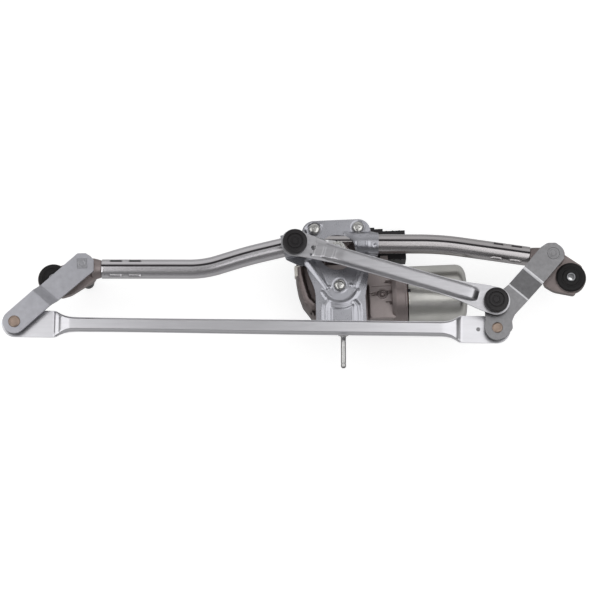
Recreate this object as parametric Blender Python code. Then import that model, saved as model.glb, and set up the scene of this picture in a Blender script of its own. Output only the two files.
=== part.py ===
"""Windscreen wiper linkage with its motor, lying as it does on a table.

+X runs along the linkage to the right mount, +Y runs up the picture and +Z comes up to the viewer.
The origin is the middle of the right mount sleeve's upper face.  All sizes are in millimetres.
"""
import math

import bmesh
import bpy
from mathutils import Matrix, Vector
from mathutils.geometry import convex_hull_2d, tessellate_polygon

MM = 0.001

# fits
GAP = 0.3
SHEET = 2.5

# pivots at park, seen from above
RIGHT_PIVOT = (-19.0, 23.2)
LEFT_PIVOT = (-513.8, 12.2)
MOTOR_PIVOT = (-245.6, 28.9)
CRANK_PIN = (-290.4, 31.0)
UPPER_STUD = (-81.2, -31.2)
LOWER_STUD = (-79.6, -57.8)
LEFT_STUD = (-583.0, -51.2)
RIGHT_BUSH = (0.0, 0.0)
LEFT_BUSH = (-544.8, -1.5)

# heights
TUBE_Z = -9.5
HOUSING_TOP = 3.0
HOUSING_BOTTOM = -47.5
EAR_TOP = -4.5
EAR_BOTTOM = -14.5
LEVER_Z = 6.0
LEVER_T = 4.0
JOGGLE = 7.0
LEVER_HALF_W = 11.9
CAP_BOTTOM = -89.5
WORM_Z = -45.0

# tube
TUBE_R = 10.2
TUBE_WALL = 1.5
SEAM_ANGLE = 80.0
CRIMP_ANGLE = 40.0
CRIMP_W = 3.2

# spindles and their housings
SPINDLE_R = 5.0
BEARING_WALL = 2.7
BEARING_L = 11.0
BARREL_R = 12.5
EAR_RIM = 0.9
CAP_WALL = 1.5
CAP_R = SPINDLE_R - 0.5 + GAP + CAP_WALL
WASHER_RIM = 4.0

# mounts
SLEEVE_R = 4.5
SLEEVE_BORE = 3.3
SLEEVE_L = 19.0
BUSH_R = 15.4
BUSH_NECK = 10.5

# ball joints
BALL_R = 6.5
BALL_UP = 8.3
SOCKET_R = 12.9
SOCKET_BODY = 9.3
ROD_T = 2.0
RIDGE_H = 5.0
STUD_NECK = 4.0
STUD_FLANGE = 6.0

# motor and gears
MOTOR_TILT = 2.5
WHEEL_R = 35.6
WHEEL_TEETH = 50
WORM_R = 7.0
TOOTH_ROOM = 0.6
CASE_SHAPE = WHEEL_R / 35.6
SHAFT_R = 3.0
YOKE_R = 31.4
YOKE_START = 73.0
YOKE_END = 138.5
YOKE_WALL = 2.0
OUTPUT_R = 5.0
CRANK_HUB_R = 8.5
CRANK_HUB_Z = 1.5
CRANK_END_R = 11.0
CASE_BOTTOM = -58.0
CHAMBER_TOP = -36.5
AIR_GAP = 1.9
MAGNET_T = 4.5
COMMUTATOR_R = 9.0

# bracket
PLATE_TOP = -7.5
SCREW_PLACES = ((-269.9, 53.2), (-223.8, 55.2), (-243.2, -7.1))
SCREW_HEAD_R = 5.9
SCREW_R = 2.9
LOBE_R = 13.2
LOBE_DROP = 4.2
BRACKET_HOLE_R = 18.9
PIN_X = -239.5
PIN_Z = -15.0
PIN_R = 2.7
PIN_TIP_Y = -95.0
FLANGE_Y = -56.5
FLANGE_DROP = 11.5

# pieces whose many joins need the solver that always closes
CASTINGS = ("motor_bracket", "gearbox_housing")

LEVER_LOW = LEVER_Z + JOGGLE
LEVER_LOW_TOP = LEVER_LOW + LEVER_T
UP_BALL_Z = LEVER_LOW_TOP + BALL_UP
DOWN_BALL_Z = LEVER_LOW - BALL_UP
SHORT_ROD_Z = UP_BALL_Z - ROD_T / 2
LONG_ROD_Z = DOWN_BALL_Z - ROD_T / 2
BEARING_R = SPINDLE_R + GAP + BEARING_WALL
GEAR_CENTRES = WHEEL_R + WORM_R + TOOTH_ROOM
MAGNET_R = YOKE_R - YOKE_WALL - 1.0
CORE_R = MAGNET_R - MAGNET_T - AIR_GAP
PLUG_X = WHEEL_R + 4.9


def clear_scene():
    for thing in list(bpy.data.objects):
        bpy.data.objects.remove(thing, do_unlink=True)


def circle(centre, radius, count, start=0.0):
    points = []
    for i in range(count):
        a = start + 2 * math.pi * i / count
        points.append((centre[0] + radius * math.cos(a), centre[1] + radius * math.sin(a)))
    return points


def arc(centre, radius, start, end, count):
    points = []
    for i in range(count):
        a = math.radians(start + (end - start) * i / (count - 1))
        points.append((centre[0] + radius * math.cos(a), centre[1] + radius * math.sin(a)))
    return points


def hull(points):
    order = convex_hull_2d([Vector(p) for p in points])
    return [points[i] for i in order]


def new_material(name, colour):
    material = bpy.data.materials.new(name)
    material.use_nodes = True
    shader = material.node_tree.nodes["Principled BSDF"]
    shader.inputs["Base Color"].default_value = (*colour, 1.0)
    shader.inputs["Roughness"].default_value = 0.45
    return material


def make_object(name, bm, colour=(0.5, 0.5, 0.52), smooth=False, origin=(0, 0, 0)):
    """Turn a mesh into an object whose origin sits at the given point."""
    bmesh.ops.remove_doubles(bm, verts=bm.verts, dist=0.001)
    bmesh.ops.recalc_face_normals(bm, faces=bm.faces)
    bmesh.ops.transform(bm, matrix=Matrix.Translation(-Vector(origin)), verts=bm.verts)
    mesh = bpy.data.meshes.new(name)
    for face in bm.faces:
        face.smooth = smooth
    bm.to_mesh(mesh)
    bm.free()
    thing = bpy.data.objects.new(name, mesh)
    thing.location = Vector(origin)
    bpy.context.scene.collection.objects.link(thing)
    mesh.materials.append(new_material(name, colour))
    return thing


def revolve(profile, segments, matrix=Matrix.Identity(4), bm=None, turn=0.0):
    """Spin a closed outline of (radius, height) points about the matrix's Z axis."""
    bm = bm or bmesh.new()
    rings = []
    for r, z in profile:
        if r < 1e-6:
            rings.append([bm.verts.new(matrix @ Vector((0, 0, z)))])
            continue
        ring = []
        for x, y in circle((0, 0), r, segments, turn):
            ring.append(bm.verts.new(matrix @ Vector((x, y, z))))
        rings.append(ring)
    for i, first in enumerate(rings):
        second = rings[(i + 1) % len(rings)]
        if len(first) == 1 and len(second) == 1:
            continue
        for k in range(segments):
            n = (k + 1) % segments
            if len(first) == 1:
                bm.faces.new((first[0], second[k], second[n]))
            elif len(second) == 1:
                bm.faces.new((first[k], first[n], second[0]))
            else:
                bm.faces.new((first[k], first[n], second[n], second[k]))
    return bm


def prism(outline, low, high, holes=(), matrix=Matrix.Identity(4), bm=None):
    """Raise a flat outline with holes between two heights."""
    bm = bm or bmesh.new()
    loops = [list(outline)] + [list(h) for h in holes]
    flat = [p for loop in loops for p in loop]
    bottom = [bm.verts.new(matrix @ Vector((p[0], p[1], low))) for p in flat]
    top = [bm.verts.new(matrix @ Vector((p[0], p[1], high))) for p in flat]
    veil = [[Vector((p[0], p[1], 0)) for p in loop] for loop in loops]
    for a, b, c in tessellate_polygon(veil):
        bm.faces.new((top[a], top[b], top[c]))
        bm.faces.new((bottom[c], bottom[b], bottom[a]))
    start = 0
    for loop in loops:
        count = len(loop)
        for i in range(count):
            a = start + i
            b = start + (i + 1) % count
            bm.faces.new((bottom[a], bottom[b], top[b], top[a]))
        start += count
    return bm


def box(low, high, matrix=Matrix.Identity(4), bm=None):
    outline = ((low[0], low[1]), (high[0], low[1]), (high[0], high[1]), (low[0], high[1]))
    return prism(outline, low[2], high[2], matrix=matrix, bm=bm)


def combine(thing, bm, operation):
    """Join a mesh to an object or cut it away, then drop the helper."""
    helper = make_object("helper", bm)
    helper.hide_render = True
    helper.display_type = "WIRE"
    step = thing.modifiers.new("step", "BOOLEAN")
    step.operation = operation
    step.object = helper
    step.solver = "MANIFOLD" if thing.name in CASTINGS else "EXACT"
    bpy.context.view_layer.update()
    graph = bpy.context.evaluated_depsgraph_get()
    result = bpy.data.meshes.new_from_object(thing.evaluated_get(graph))
    thing.modifiers.remove(step)
    thing.data = result
    bpy.data.objects.remove(helper, do_unlink=True)


def join(thing, bm):
    combine(thing, bm, "UNION")


def cut(thing, bm):
    combine(thing, bm, "DIFFERENCE")


def smooth_round(thing, angle=35.0):
    """Shade the round faces smooth and keep the edges sharper than the angle."""
    bm = bmesh.new()
    bm.from_mesh(thing.data)
    for face in bm.faces:
        face.smooth = True
    for edge in bm.edges:
        wide = len(edge.link_faces) != 2 or edge.calc_face_angle(0.0) > math.radians(angle)
        edge.smooth = not wide
    bm.to_mesh(thing.data)
    bm.free()


def at(point, z=0.0):
    return Matrix.Translation((point[0], point[1], z))


def along(direction):
    """A turn that lays the Z axis along a flat direction."""
    angle = math.atan2(direction[1], direction[0])
    return Matrix.Rotation(angle, 4, "Z") @ Matrix.Rotation(math.pi / 2, 4, "Y")


def turned(name, profile, segments, colour, matrix=Matrix.Identity(4), origin=(0, 0, 0), turn=0.0):
    thing = make_object(name, revolve(profile, segments, matrix, turn=turn), colour, True, origin)
    smooth_round(thing)
    return thing


def bezier_path(corners, radius, steps):
    """Points along a path whose corners are rounded."""
    points = [Vector(corners[0])]
    for i in range(1, len(corners) - 1):
        before = Vector(corners[i - 1])
        corner = Vector(corners[i])
        after = Vector(corners[i + 1])
        inward = corner + (before - corner).normalized() * radius
        outward = corner + (after - corner).normalized() * radius
        for k in range(steps + 1):
            t = k / steps
            points.append(inward * (1 - t) ** 2 + corner * 2 * t * (1 - t) + outward * t * t)
    points.append(Vector(corners[-1]))
    return points


def tube(name, corners, radius, steps):
    """A rolled tube along a flat path, with its seam as a shallow groove."""
    points = bezier_path(corners, radius, steps)
    angles = []
    for i in range(16):
        angles.append((math.radians(SEAM_ANGLE + 9 + 342 * i / 15), TUBE_R))
    angles.append((math.radians(SEAM_ANGLE), TUBE_R - 1.0))
    bm = bmesh.new()
    outer = []
    inner = []
    for i, point in enumerate(points):
        ahead = points[min(i + 1, len(points) - 1)]
        behind = points[max(i - 1, 0)]
        direction = (ahead - behind).normalized()
        side = Vector((-direction.y, direction.x))
        loop_out = []
        loop_in = []
        for a, r in angles:
            for loop, size in ((loop_out, r), (loop_in, TUBE_R - TUBE_WALL)):
                flat = point + side * (size * math.cos(a))
                loop.append(bm.verts.new((flat.x, flat.y, TUBE_Z + size * math.sin(a))))
        outer.append(loop_out)
        inner.append(loop_in)
    count = len(angles)
    for i in range(len(points) - 1):
        for k in range(count):
            n = (k + 1) % count
            bm.faces.new((outer[i][k], outer[i][n], outer[i + 1][n], outer[i + 1][k]))
            bm.faces.new((inner[i][n], inner[i][k], inner[i + 1][k], inner[i + 1][n]))
    for end in (0, -1):
        for k in range(count):
            n = (k + 1) % count
            bm.faces.new((outer[end][k], outer[end][n], inner[end][n], inner[end][k]))
    return make_object(name, bm, (0.55, 0.54, 0.55), True)


def crimp(thing, start, direction, stops):
    """Cut the crimp slots through both sides of a tube near its end."""
    turn = Matrix.Translation((start[0], start[1], TUBE_Z)) @ Matrix.Rotation(
        math.atan2(direction[1], direction[0]), 4, "Z"
    )
    near = TUBE_R - TUBE_WALL - 1.2
    far = TUBE_R + 2
    half = CRIMP_W / 2
    for low, high in stops:
        for angle in (CRIMP_ANGLE, 180 - CRIMP_ANGLE):
            tilt = turn @ Matrix.Rotation(math.radians(angle), 4, "X")
            cut(thing, box((low, near, -half), (high, far, half), tilt))


def spindle_housing(name, pivot, bush, corners, tube_end, direction):
    """One die casting: barrel, ear for the rubber bush and spigot for the tube."""
    colour = (0.36, 0.33, 0.32)
    barrel = circle(pivot, BARREL_R, 20)
    thing = make_object(name, prism(barrel, HOUSING_BOTTOM, HOUSING_TOP), colour)
    web = hull(circle(pivot, BARREL_R - 5, 14, 0.1) + circle(bush, BUSH_R - 6, 14) + list(corners))
    join(thing, prism(web, EAR_BOTTOM, EAR_TOP))
    join(thing, prism(circle(bush, BUSH_R + EAR_RIM, 18, 0.05), EAR_BOTTOM, EAR_TOP))
    unit = Vector(direction).normalized()
    reach = (Vector(tube_end) - Vector(pivot)).dot(unit)
    line = Matrix.Translation((tube_end[0], tube_end[1], TUBE_Z)) @ along(unit)
    spigot_r = TUBE_R - TUBE_WALL - GAP
    neck = ((0, -reach), (TUBE_R + 1.2, -reach), (spigot_r + 0.3, -GAP), (0, -GAP))
    join(thing, revolve(neck, 14, line))
    spigot = ((0, -3), (spigot_r, -3), (spigot_r, 40), (spigot_r - 1.5, 42), (0, 42))
    join(thing, revolve(spigot, 12, line, turn=0.1))
    bore = BEARING_R + GAP
    cut(thing, prism(circle(pivot, bore, 16), HOUSING_BOTTOM - 5, HOUSING_TOP + 5))
    cut(thing, prism(circle(bush, BUSH_NECK + GAP, 18), EAR_BOTTOM - 8, EAR_TOP + 8))
    smooth_round(thing, 30)
    return thing


def mount_bush(name, bush):
    top = -0.5
    bottom = -SLEEVE_L + 0.5
    inner = SLEEVE_R + GAP
    edge = 1.2
    profile = (
        (inner, bottom),
        (BUSH_R, bottom),
        (BUSH_R, EAR_BOTTOM - GAP),
        (BUSH_NECK, EAR_BOTTOM - GAP),
        (BUSH_NECK, EAR_TOP + GAP),
        (BUSH_R, EAR_TOP + GAP),
        (BUSH_R, top - edge),
        (BUSH_R - edge, top),
        (inner, top),
    )
    turned(name, profile, 18, (0.03, 0.03, 0.03), at(bush))


def mount_sleeve(name, bush):
    profile = (
        (SLEEVE_BORE, -SLEEVE_L),
        (SLEEVE_R, -SLEEVE_L),
        (SLEEVE_R, 0),
        (SLEEVE_BORE, 0),
    )
    turned(name, profile, 16, (0.6, 0.6, 0.6), at(bush))


def bearing(name, pivot, low, high):
    profile = (
        (SPINDLE_R + GAP, low),
        (BEARING_R, low),
        (BEARING_R, high),
        (SPINDLE_R + GAP, high),
    )
    turned(name, profile, 16, (0.5, 0.38, 0.22), at(pivot))


def spindle(name, pivot, sides):
    """The turned shaft; its top end fills the hole in the lever."""
    top = LEVER_Z + LEVER_T + 0.1
    end_r = SPINDLE_R - 0.5
    profile = (
        (0, CAP_BOTTOM + 4),
        (end_r - 1, CAP_BOTTOM + 4),
        (end_r, CAP_BOTTOM + 5),
        (end_r, -60),
        (SPINDLE_R, -58),
        (SPINDLE_R, LEVER_Z + 1),
        (0, LEVER_Z + 1),
    )
    bm = revolve(profile, 16, at(pivot))
    thing = make_object(name, bm, (0.45, 0.45, 0.46), False, (pivot[0], pivot[1], LEVER_Z))
    head = prism(lever_hole(pivot, sides, 0.0), LEVER_Z, top)
    join(thing, head)
    smooth_round(thing, 30)
    return thing


def lever_hole(pivot, sides, gap):
    turn = math.radians(42.5 + 22.5) if sides == 8 else 0.0
    return circle(pivot, 5.8 + gap * (1.1 if sides == 8 else 1.0), sides, turn)


def spindle_cap(name, pivot):
    inner = SPINDLE_R - 0.5 + GAP
    top = -62.5
    profile = (
        (0, CAP_BOTTOM),
        (CAP_R - 1.2, CAP_BOTTOM),
        (CAP_R, CAP_BOTTOM + 1.2),
        (CAP_R, top),
        (inner, top),
        (inner, CAP_BOTTOM + 3),
        (0, CAP_BOTTOM + 3),
    )
    turned(name, profile, 18, (0.02, 0.02, 0.02), at(pivot))


def washer(name, pivot):
    profile = (
        (SPINDLE_R + GAP, HOUSING_TOP + GAP),
        (SPINDLE_R + WASHER_RIM, HOUSING_TOP + GAP),
        (SPINDLE_R + WASHER_RIM, LEVER_Z - GAP),
        (SPINDLE_R + GAP, LEVER_Z - GAP),
    )
    turned(name, profile, 18, (0.6, 0.6, 0.6), at(pivot))


def lever(name, outline, holes, pivot, normal, bend_start, bend_end):
    """A thick strip with a joggle: past the bends it sits higher."""
    bm = prism(outline, LEVER_Z, LEVER_Z + LEVER_T, holes)
    bend_up(bm, pivot, normal, bend_start, bend_end, JOGGLE)
    origin = (pivot[0], pivot[1], LEVER_Z)
    thing = make_object(name, bm, (0.5, 0.52, 0.55), False, origin)
    smooth_round(thing, 25)
    return thing


def bend_up(bm, pivot, normal, bend_start, bend_end, rise):
    """Joggle a flat strip: between two distances from the pivot it climbs by the rise."""
    unit = Vector((normal[0], normal[1], 0)).normalized()
    base = Vector((pivot[0], pivot[1], 0))
    soft = 1.2
    stops = (bend_start - soft, bend_start + soft, bend_end - soft, bend_end + soft)
    for stop in stops:
        everything = list(bm.verts) + list(bm.edges) + list(bm.faces)
        bmesh.ops.bisect_plane(bm, geom=everything, plane_co=base + unit * stop, plane_no=unit)
    for vert in bm.verts:
        u = (vert.co - base).dot(unit)
        flat = Vector((vert.co.x, vert.co.y, 0))
        u = (flat - base).dot(unit)
        vert.co.z += rise * joggle_share(u, bend_start, bend_end, soft)


def joggle_share(u, start, end, soft):
    if u <= start - soft:
        return 0.0
    if u >= end + soft:
        return 1.0
    run = end - start
    if u < start + soft:
        return (u - start + soft) ** 2 / (4 * soft * run)
    if u > end - soft:
        return 1 - (end + soft - u) ** 2 / (4 * soft * run)
    return (u - start) / run


def ball_points(centre, direction, first, last, count):
    points = []
    for i in range(count):
        a = math.radians(first + (last - first) * i / (count - 1))
        points.append((BALL_R * math.cos(a), centre + direction * BALL_R * math.sin(a)))
    return points


def ball_stud(name, place, ball_z, direction, through, head_r, origin):
    """A ball on a flanged neck; through is the far face of the lever for a riveted one."""
    face = ball_z - direction * BALL_UP
    start = face + direction * GAP
    profile = []
    if through is None:
        profile += [(0, start), (STUD_FLANGE, start)]
    else:
        head = through - direction * GAP
        top = head - direction * 1.5
        profile += [
            (0, top),
            (head_r - 1.4, top),
            (head_r, top + direction * 0.9),
            (head_r, head),
            (STUD_NECK, head),
            (STUD_NECK, start),
            (STUD_FLANGE, start),
        ]
    profile += [(STUD_FLANGE, start + direction * 1.4), (3.6, start + direction * 1.4)]
    rise = math.degrees(math.asin(-math.sqrt(BALL_R ** 2 - 3.6 ** 2) / BALL_R))
    for r, z in ball_points(ball_z, direction, rise, 60, 4):
        profile.append((r, z))
    profile.append((0, ball_z + direction * BALL_R * math.sin(math.radians(60))))
    turned(name, profile, 12, (0.38, 0.3, 0.24), at(place), origin)


def ball_socket(name, place, ball_z, direction, origin):
    """A plastic socket: hollow ball seat, body through the rod's plate and a broad lid."""
    cavity = BALL_R + GAP
    mouth = math.radians(-35)
    low = ball_z + direction * cavity * math.sin(mouth)
    plate_far = ball_z + direction * (ROD_T / 2 + GAP)
    lid = ball_z + direction * 8.9
    profile = [
        (0, lid - direction * 0.5),
        (3.4, lid - direction * 0.5),
        (4.0, lid - direction * 1.0),
        (7.6, lid - direction * 1.0),
        (8.4, lid),
        (SOCKET_R - 0.8, lid),
        (SOCKET_R, lid - direction * 0.9),
        (SOCKET_R, plate_far),
        (SOCKET_BODY, plate_far),
        (SOCKET_BODY, low - direction * 0.3),
        (cavity * math.cos(mouth) + 0.5, low - direction * 0.3),
    ]
    for i in range(5):
        a = mouth + (math.radians(90) - mouth) * i / 4
        size = cavity * 1.04
        profile.append((size * math.cos(a) if i < 4 else 0.0, ball_z + direction * size * math.sin(a)))
    turned(name, profile, 16, (0.03, 0.03, 0.03), at(place), origin)


def rod(name, left, right, base_z, stations, origin, small_holes):
    """A pressed rod: flat end plates and a raised ridge between, made as one loft."""
    start = Vector(left)
    line = Vector(right) - start
    unit = line.normalized()
    side = Vector((-unit.y, unit.x))
    bm = bmesh.new()
    loops = []
    for u, w, b, t, h in stations:
        b = min(b, w - 0.3)
        t = min(t, b - 0.6)
        top = ((-w, 0), (-b, 0), (-t, h), (t, h), (b, 0), (w, 0))
        thin = min(1.3, b * 0.4, t * 0.8)
        under = ((w, 0), (b - thin, 0), (t - thin * 0.9, h), (-t + thin * 0.9, h), (-b + thin, 0), (-w, 0))
        loop = []
        for y, z in top:
            p = start + unit * u + side * y
            loop.append(bm.verts.new((p.x, p.y, base_z + ROD_T + z)))
        for y, z in under:
            p = start + unit * u + side * y
            loop.append(bm.verts.new((p.x, p.y, base_z + z)))
        loops.append(loop)
    count = len(loops[0])
    for i in range(len(loops) - 1):
        for k in range(count):
            n = (k + 1) % count
            bm.faces.new((loops[i][k], loops[i][n], loops[i + 1][n], loops[i + 1][k]))
    for loop in (loops[0], loops[-1]):
        for k in range(5):
            bm.faces.new((loop[k], loop[k + 1], loop[10 - k], loop[11 - k]))
    thing = make_object(name, bm, (0.62, 0.62, 0.64), False, origin)
    for place in (left, right):
        cut(thing, prism(circle(place, SOCKET_BODY + GAP + 0.1, 16), base_z - 3, base_z + ROD_T + 3))
    for place, radius in small_holes:
        cut(thing, prism(circle(place, radius, 10), base_z - 3, base_z + ROD_T + 3))
    smooth_round(thing, 22)
    return thing


def rounded_end(radius, count):
    """Distance before the pivot and half width of a round plate end."""
    shape = []
    for i in range(count):
        a = math.radians(84 * (1 - i / (count - 1)))
        shape.append((-radius * math.sin(a), radius * math.cos(a)))
    return shape


def rod_stations(length, end_r_left, end_r_right, left_shape, middle, right_shape):
    """Stations of (distance, plate half width, ridge base, ridge top, ridge height)."""
    stations = []
    for u, w in rounded_end(end_r_left, 4):
        stations.append((u, w, 4.0, 2.0, 0.0))
    for u, w, b, t, h in left_shape:
        stations.append((u, w, b, t, h))
    for share, w, b, t in middle:
        stations.append((length * share, w, b, t, RIDGE_H))
    for u, w, b, t, h in right_shape:
        stations.append((length - u, w, b, t, h))
    for u, w in reversed(rounded_end(end_r_right, 4)):
        stations.append((length - u, w, 4.0, 2.0, 0.0))
    return stations


def pan_screw(name, place, head_low, shank_end, head_r, shank_r, direction=1):
    """A pan head screw with a cross recess."""
    h = head_low + direction * 3.4
    profile = (
        (0, shank_end),
        (shank_r, shank_end),
        (shank_r, head_low),
        (head_r, head_low),
        (head_r, head_low + direction * 1.7),
        (head_r - 1.8, h),
        (0, h),
    )
    thing = turned(name, profile, 12, (0.7, 0.7, 0.68), at(place))
    for angle in (20, 110):
        turn = at(place) @ Matrix.Rotation(math.radians(angle), 4, "Z")
        z = sorted((h - direction * 1.6, h + direction))
        cut(thing, box((-2.6, -0.6, z[0]), (2.6, 0.6, z[1]), turn))
    return thing


def ridge(thing, path, half_width, height):
    """Raise a bead with sloping sides and rounded ends on the bracket along a path."""
    points = [Vector(p) for p in path]
    loops = []
    for width, z in ((half_width, PLATE_TOP - 0.6), (half_width * 0.45, PLATE_TOP + height)):
        left = []
        right = []
        for i, point in enumerate(points):
            ahead = points[min(i + 1, len(points) - 1)]
            behind = points[max(i - 1, 0)]
            way = (ahead - behind).normalized()
            side = Vector((-way.y, way.x))
            if i == 0:
                left.append(point - way * width)
            left.append(point + side * width)
            right.append(point - side * width)
            if i == len(points) - 1:
                left.append(point + way * width)
        loops.append([(p.x, p.y, z) for p in left + right[::-1]])
    bm = bmesh.new()
    lower = [bm.verts.new(p) for p in loops[0]]
    upper = [bm.verts.new(p) for p in loops[1]]
    for i in range(len(lower)):
        n = (i + 1) % len(lower)
        bm.faces.new((lower[i], lower[n], upper[n], upper[i]))
    bm.faces.new(lower)
    bm.faces.new(upper)
    join(thing, bm)


def motor_bracket(left_end, left_dir, right_end, right_dir):
    """The pressed plate that clamps both tubes and carries the motor and the locating pin."""
    s1, s2, s3 = SCREW_PLACES
    outline = arc((s2[0], s2[1] - LOBE_DROP), LOBE_R, 0, 90, 6)
    outline += arc((s1[0], s1[1] - LOBE_DROP), LOBE_R, 90, 185, 6)
    outline += [(-290.0, 46.0), (-304.6, 42.5), (-304.6, 18.2), (-286.2, 12.7), (-278.4, 13.6)]
    outline += [(-276.5, 5.5), (-270.2, -10.0), (-268.6, -18.0), (-268.1, -44.0)]
    outline += [(-266.0, FLANGE_Y + 0.5), (-217.0, FLANGE_Y + 0.5), (-215.1, -44.1), (-216.3, -18.3)]
    outline += [(-212.7, 5.9), (-211.0, 22.5), (-203.0, 24.0), (-202.6, 45.0)]
    low = PLATE_TOP - SHEET
    holes = [circle((MOTOR_PIVOT[0], MOTOR_PIVOT[1] - 0.9), BRACKET_HOLE_R, 20)]
    for place in SCREW_PLACES:
        holes.append(circle(place, SCREW_R + GAP + 0.1, 8))
    thing = make_object("motor_bracket", prism(outline, low, PLATE_TOP, holes), (0.45, 0.48, 0.52))
    outer = TUBE_R + GAP + SHEET
    for end, direction, near, far in ((left_end, left_dir, -1.5, 22.5), (right_end, right_dir, -2.0, 14.5)):
        line = Matrix.Translation((end[0], end[1], TUBE_Z)) @ along(direction)
        join(thing, revolve(((0, near), (outer, near), (outer, far), (0, far)), 20, line))
        bore = ((0, near - 1), (TUBE_R + GAP, near - 1), (TUBE_R + GAP, 60), (0, 60))
        cut(thing, revolve(bore, 20, line))
    cut(thing, box((-330, -80, low - 40), (-180, 90, low)))
    flange = box((PIN_X - 19.5, FLANGE_Y, low - FLANGE_DROP), (PIN_X + 17.5, FLANGE_Y + SHEET, low + 1.0))
    join(thing, flange)
    return thing


def main():
    clear_scene()
    motor = at(MOTOR_PIVOT) @ Matrix.Rotation(math.radians(MOTOR_TILT), 4, "Z")
    build_frame(motor)
    build_levers()
    build_crank(motor)
    build_rods()
    to_metres()


def to_metres():
    """Everything above is in millimetres; the finished meshes and places go to metres."""
    for thing in bpy.context.scene.objects:
        thing.data.transform(Matrix.Scale(MM, 4))
        thing.location = thing.location * MM


LEFT_TUBE = ((-494.1, 10.4), (-385.9, 10.3), (-340.0, 24.8), (-281.0, 39.0))
RIGHT_TUBE = ((-216.5, 37.7), (-137.1, 37.5), (-43.2, 24.0))


def build_frame(motor):
    left = tube("left_tube", LEFT_TUBE, 15.0, 3)
    right = tube("right_tube", RIGHT_TUBE, 22.0, 4)
    crimp(left, LEFT_TUBE[0], (1, 0), ((8.2, 21.8), (28.2, 41.8)))
    right_line = Vector(RIGHT_TUBE[-2]) - Vector(RIGHT_TUBE[-1])
    crimp(right, RIGHT_TUBE[-1], right_line, ((8.5, 20.5), (28.0, 40.0)))
    smooth_round(left, 30)
    smooth_round(right, 30)
    spindle_housing(
        "left_spindle_housing",
        LEFT_PIVOT,
        LEFT_BUSH,
        ((-501.6, -2.5), (-526.0, -18.0), (-536.4, -21.0)),
        LEFT_TUBE[0],
        (1, 0),
    )
    spindle_housing(
        "right_spindle_housing",
        RIGHT_PIVOT,
        RIGHT_BUSH,
        ((-28.5, -7.7), (-18.0, -14.3), (4.0, -18.6), (-6.8, 18.6), (12.6, 12.4)),
        RIGHT_TUBE[-1],
        right_line,
    )
    for side, pivot, bush in (("left", LEFT_PIVOT, LEFT_BUSH), ("right", RIGHT_PIVOT, RIGHT_BUSH)):
        mount_bush(side + "_mount_bush", bush)
        mount_sleeve(side + "_mount_sleeve", bush)
        bearing(side + "_upper_bearing", pivot, HOUSING_TOP - BEARING_L, HOUSING_TOP)
        bearing(side + "_lower_bearing", pivot, HOUSING_BOTTOM, HOUSING_BOTTOM + BEARING_L)
        washer(side + "_spindle_washer", pivot)
    left_line = Vector(LEFT_TUBE[2]) - Vector(LEFT_TUBE[3])
    right_start = Vector(RIGHT_TUBE[1]) - Vector(RIGHT_TUBE[0])
    bracket = motor_bracket(LEFT_TUBE[3], left_line, RIGHT_TUBE[0], right_start)
    finish_bracket(bracket)
    locating_pin()
    build_motor(motor)


def finish_bracket(bracket):
    """Press the beads into the bracket and drill the pin hole."""
    s3 = SCREW_PLACES[2]
    ridge(bracket, ((-270.4, 13.0), (-256.0, -11.6)), 3.2, 2.2)
    ridge(bracket, ((-220.4, 8.4), (-228.6, -10.4)), 3.2, 2.1)
    ridge(bracket, arc(s3, 21.0, 215, 325, 6), 2.2, 1.3)
    ridge(bracket, ((-260.5, -34.0), (-259.5, -51.0)), 2.6, 2.1)
    ridge(bracket, ((-219.9, -34.0), (-220.0, -51.0)), 2.6, 2.2)
    line = Matrix.Translation((PIN_X, FLANGE_Y, PIN_Z)) @ along((0, -1))
    hole = ((0, -6), (PIN_R + 1.0 + GAP, -6), (PIN_R + 1.0 + GAP, 6), (0, 6))
    cut(bracket, revolve(hole, 16, line))
    smooth_round(bracket, 28)


def locating_pin():
    reach = FLANGE_Y - PIN_TIP_Y
    shank = PIN_R + 1.0
    profile = (
        (0, -SHEET - 2.2),
        (4.6, -SHEET - 2.2),
        (4.6, -SHEET - GAP),
        (shank, -SHEET - GAP),
        (shank, GAP),
        (6.8, GAP),
        (6.8, 2.2),
        (5.2, 3.6),
        (PIN_R, 4.4),
        (PIN_R, reach - 1.6),
        (PIN_R - 1.1, reach),
        (0, reach),
    )
    line = Matrix.Translation((PIN_X, FLANGE_Y, PIN_Z)) @ along((0, -1))
    turned("locating_pin", profile, 14, (0.7, 0.7, 0.7), line)


def case_outline(right):
    """Outer outline of the gear case in the motor's own frame, up to its right edge."""
    top = arc((0, 0), WHEEL_R + 3.6, -4, 172, 17)
    k = CASE_SHAPE
    rest = [(-44.5, -8), (-44.5, -22), (-42.5, -36), (-38.5, -49), (-28, -64), (-20, -70)]
    rest = [(x * k, y * k) for x, y in rest]
    rest += [(right, -71 * k), (right, -13 * k), (42 * k, -12.5 * k)]
    return top + rest


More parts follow.
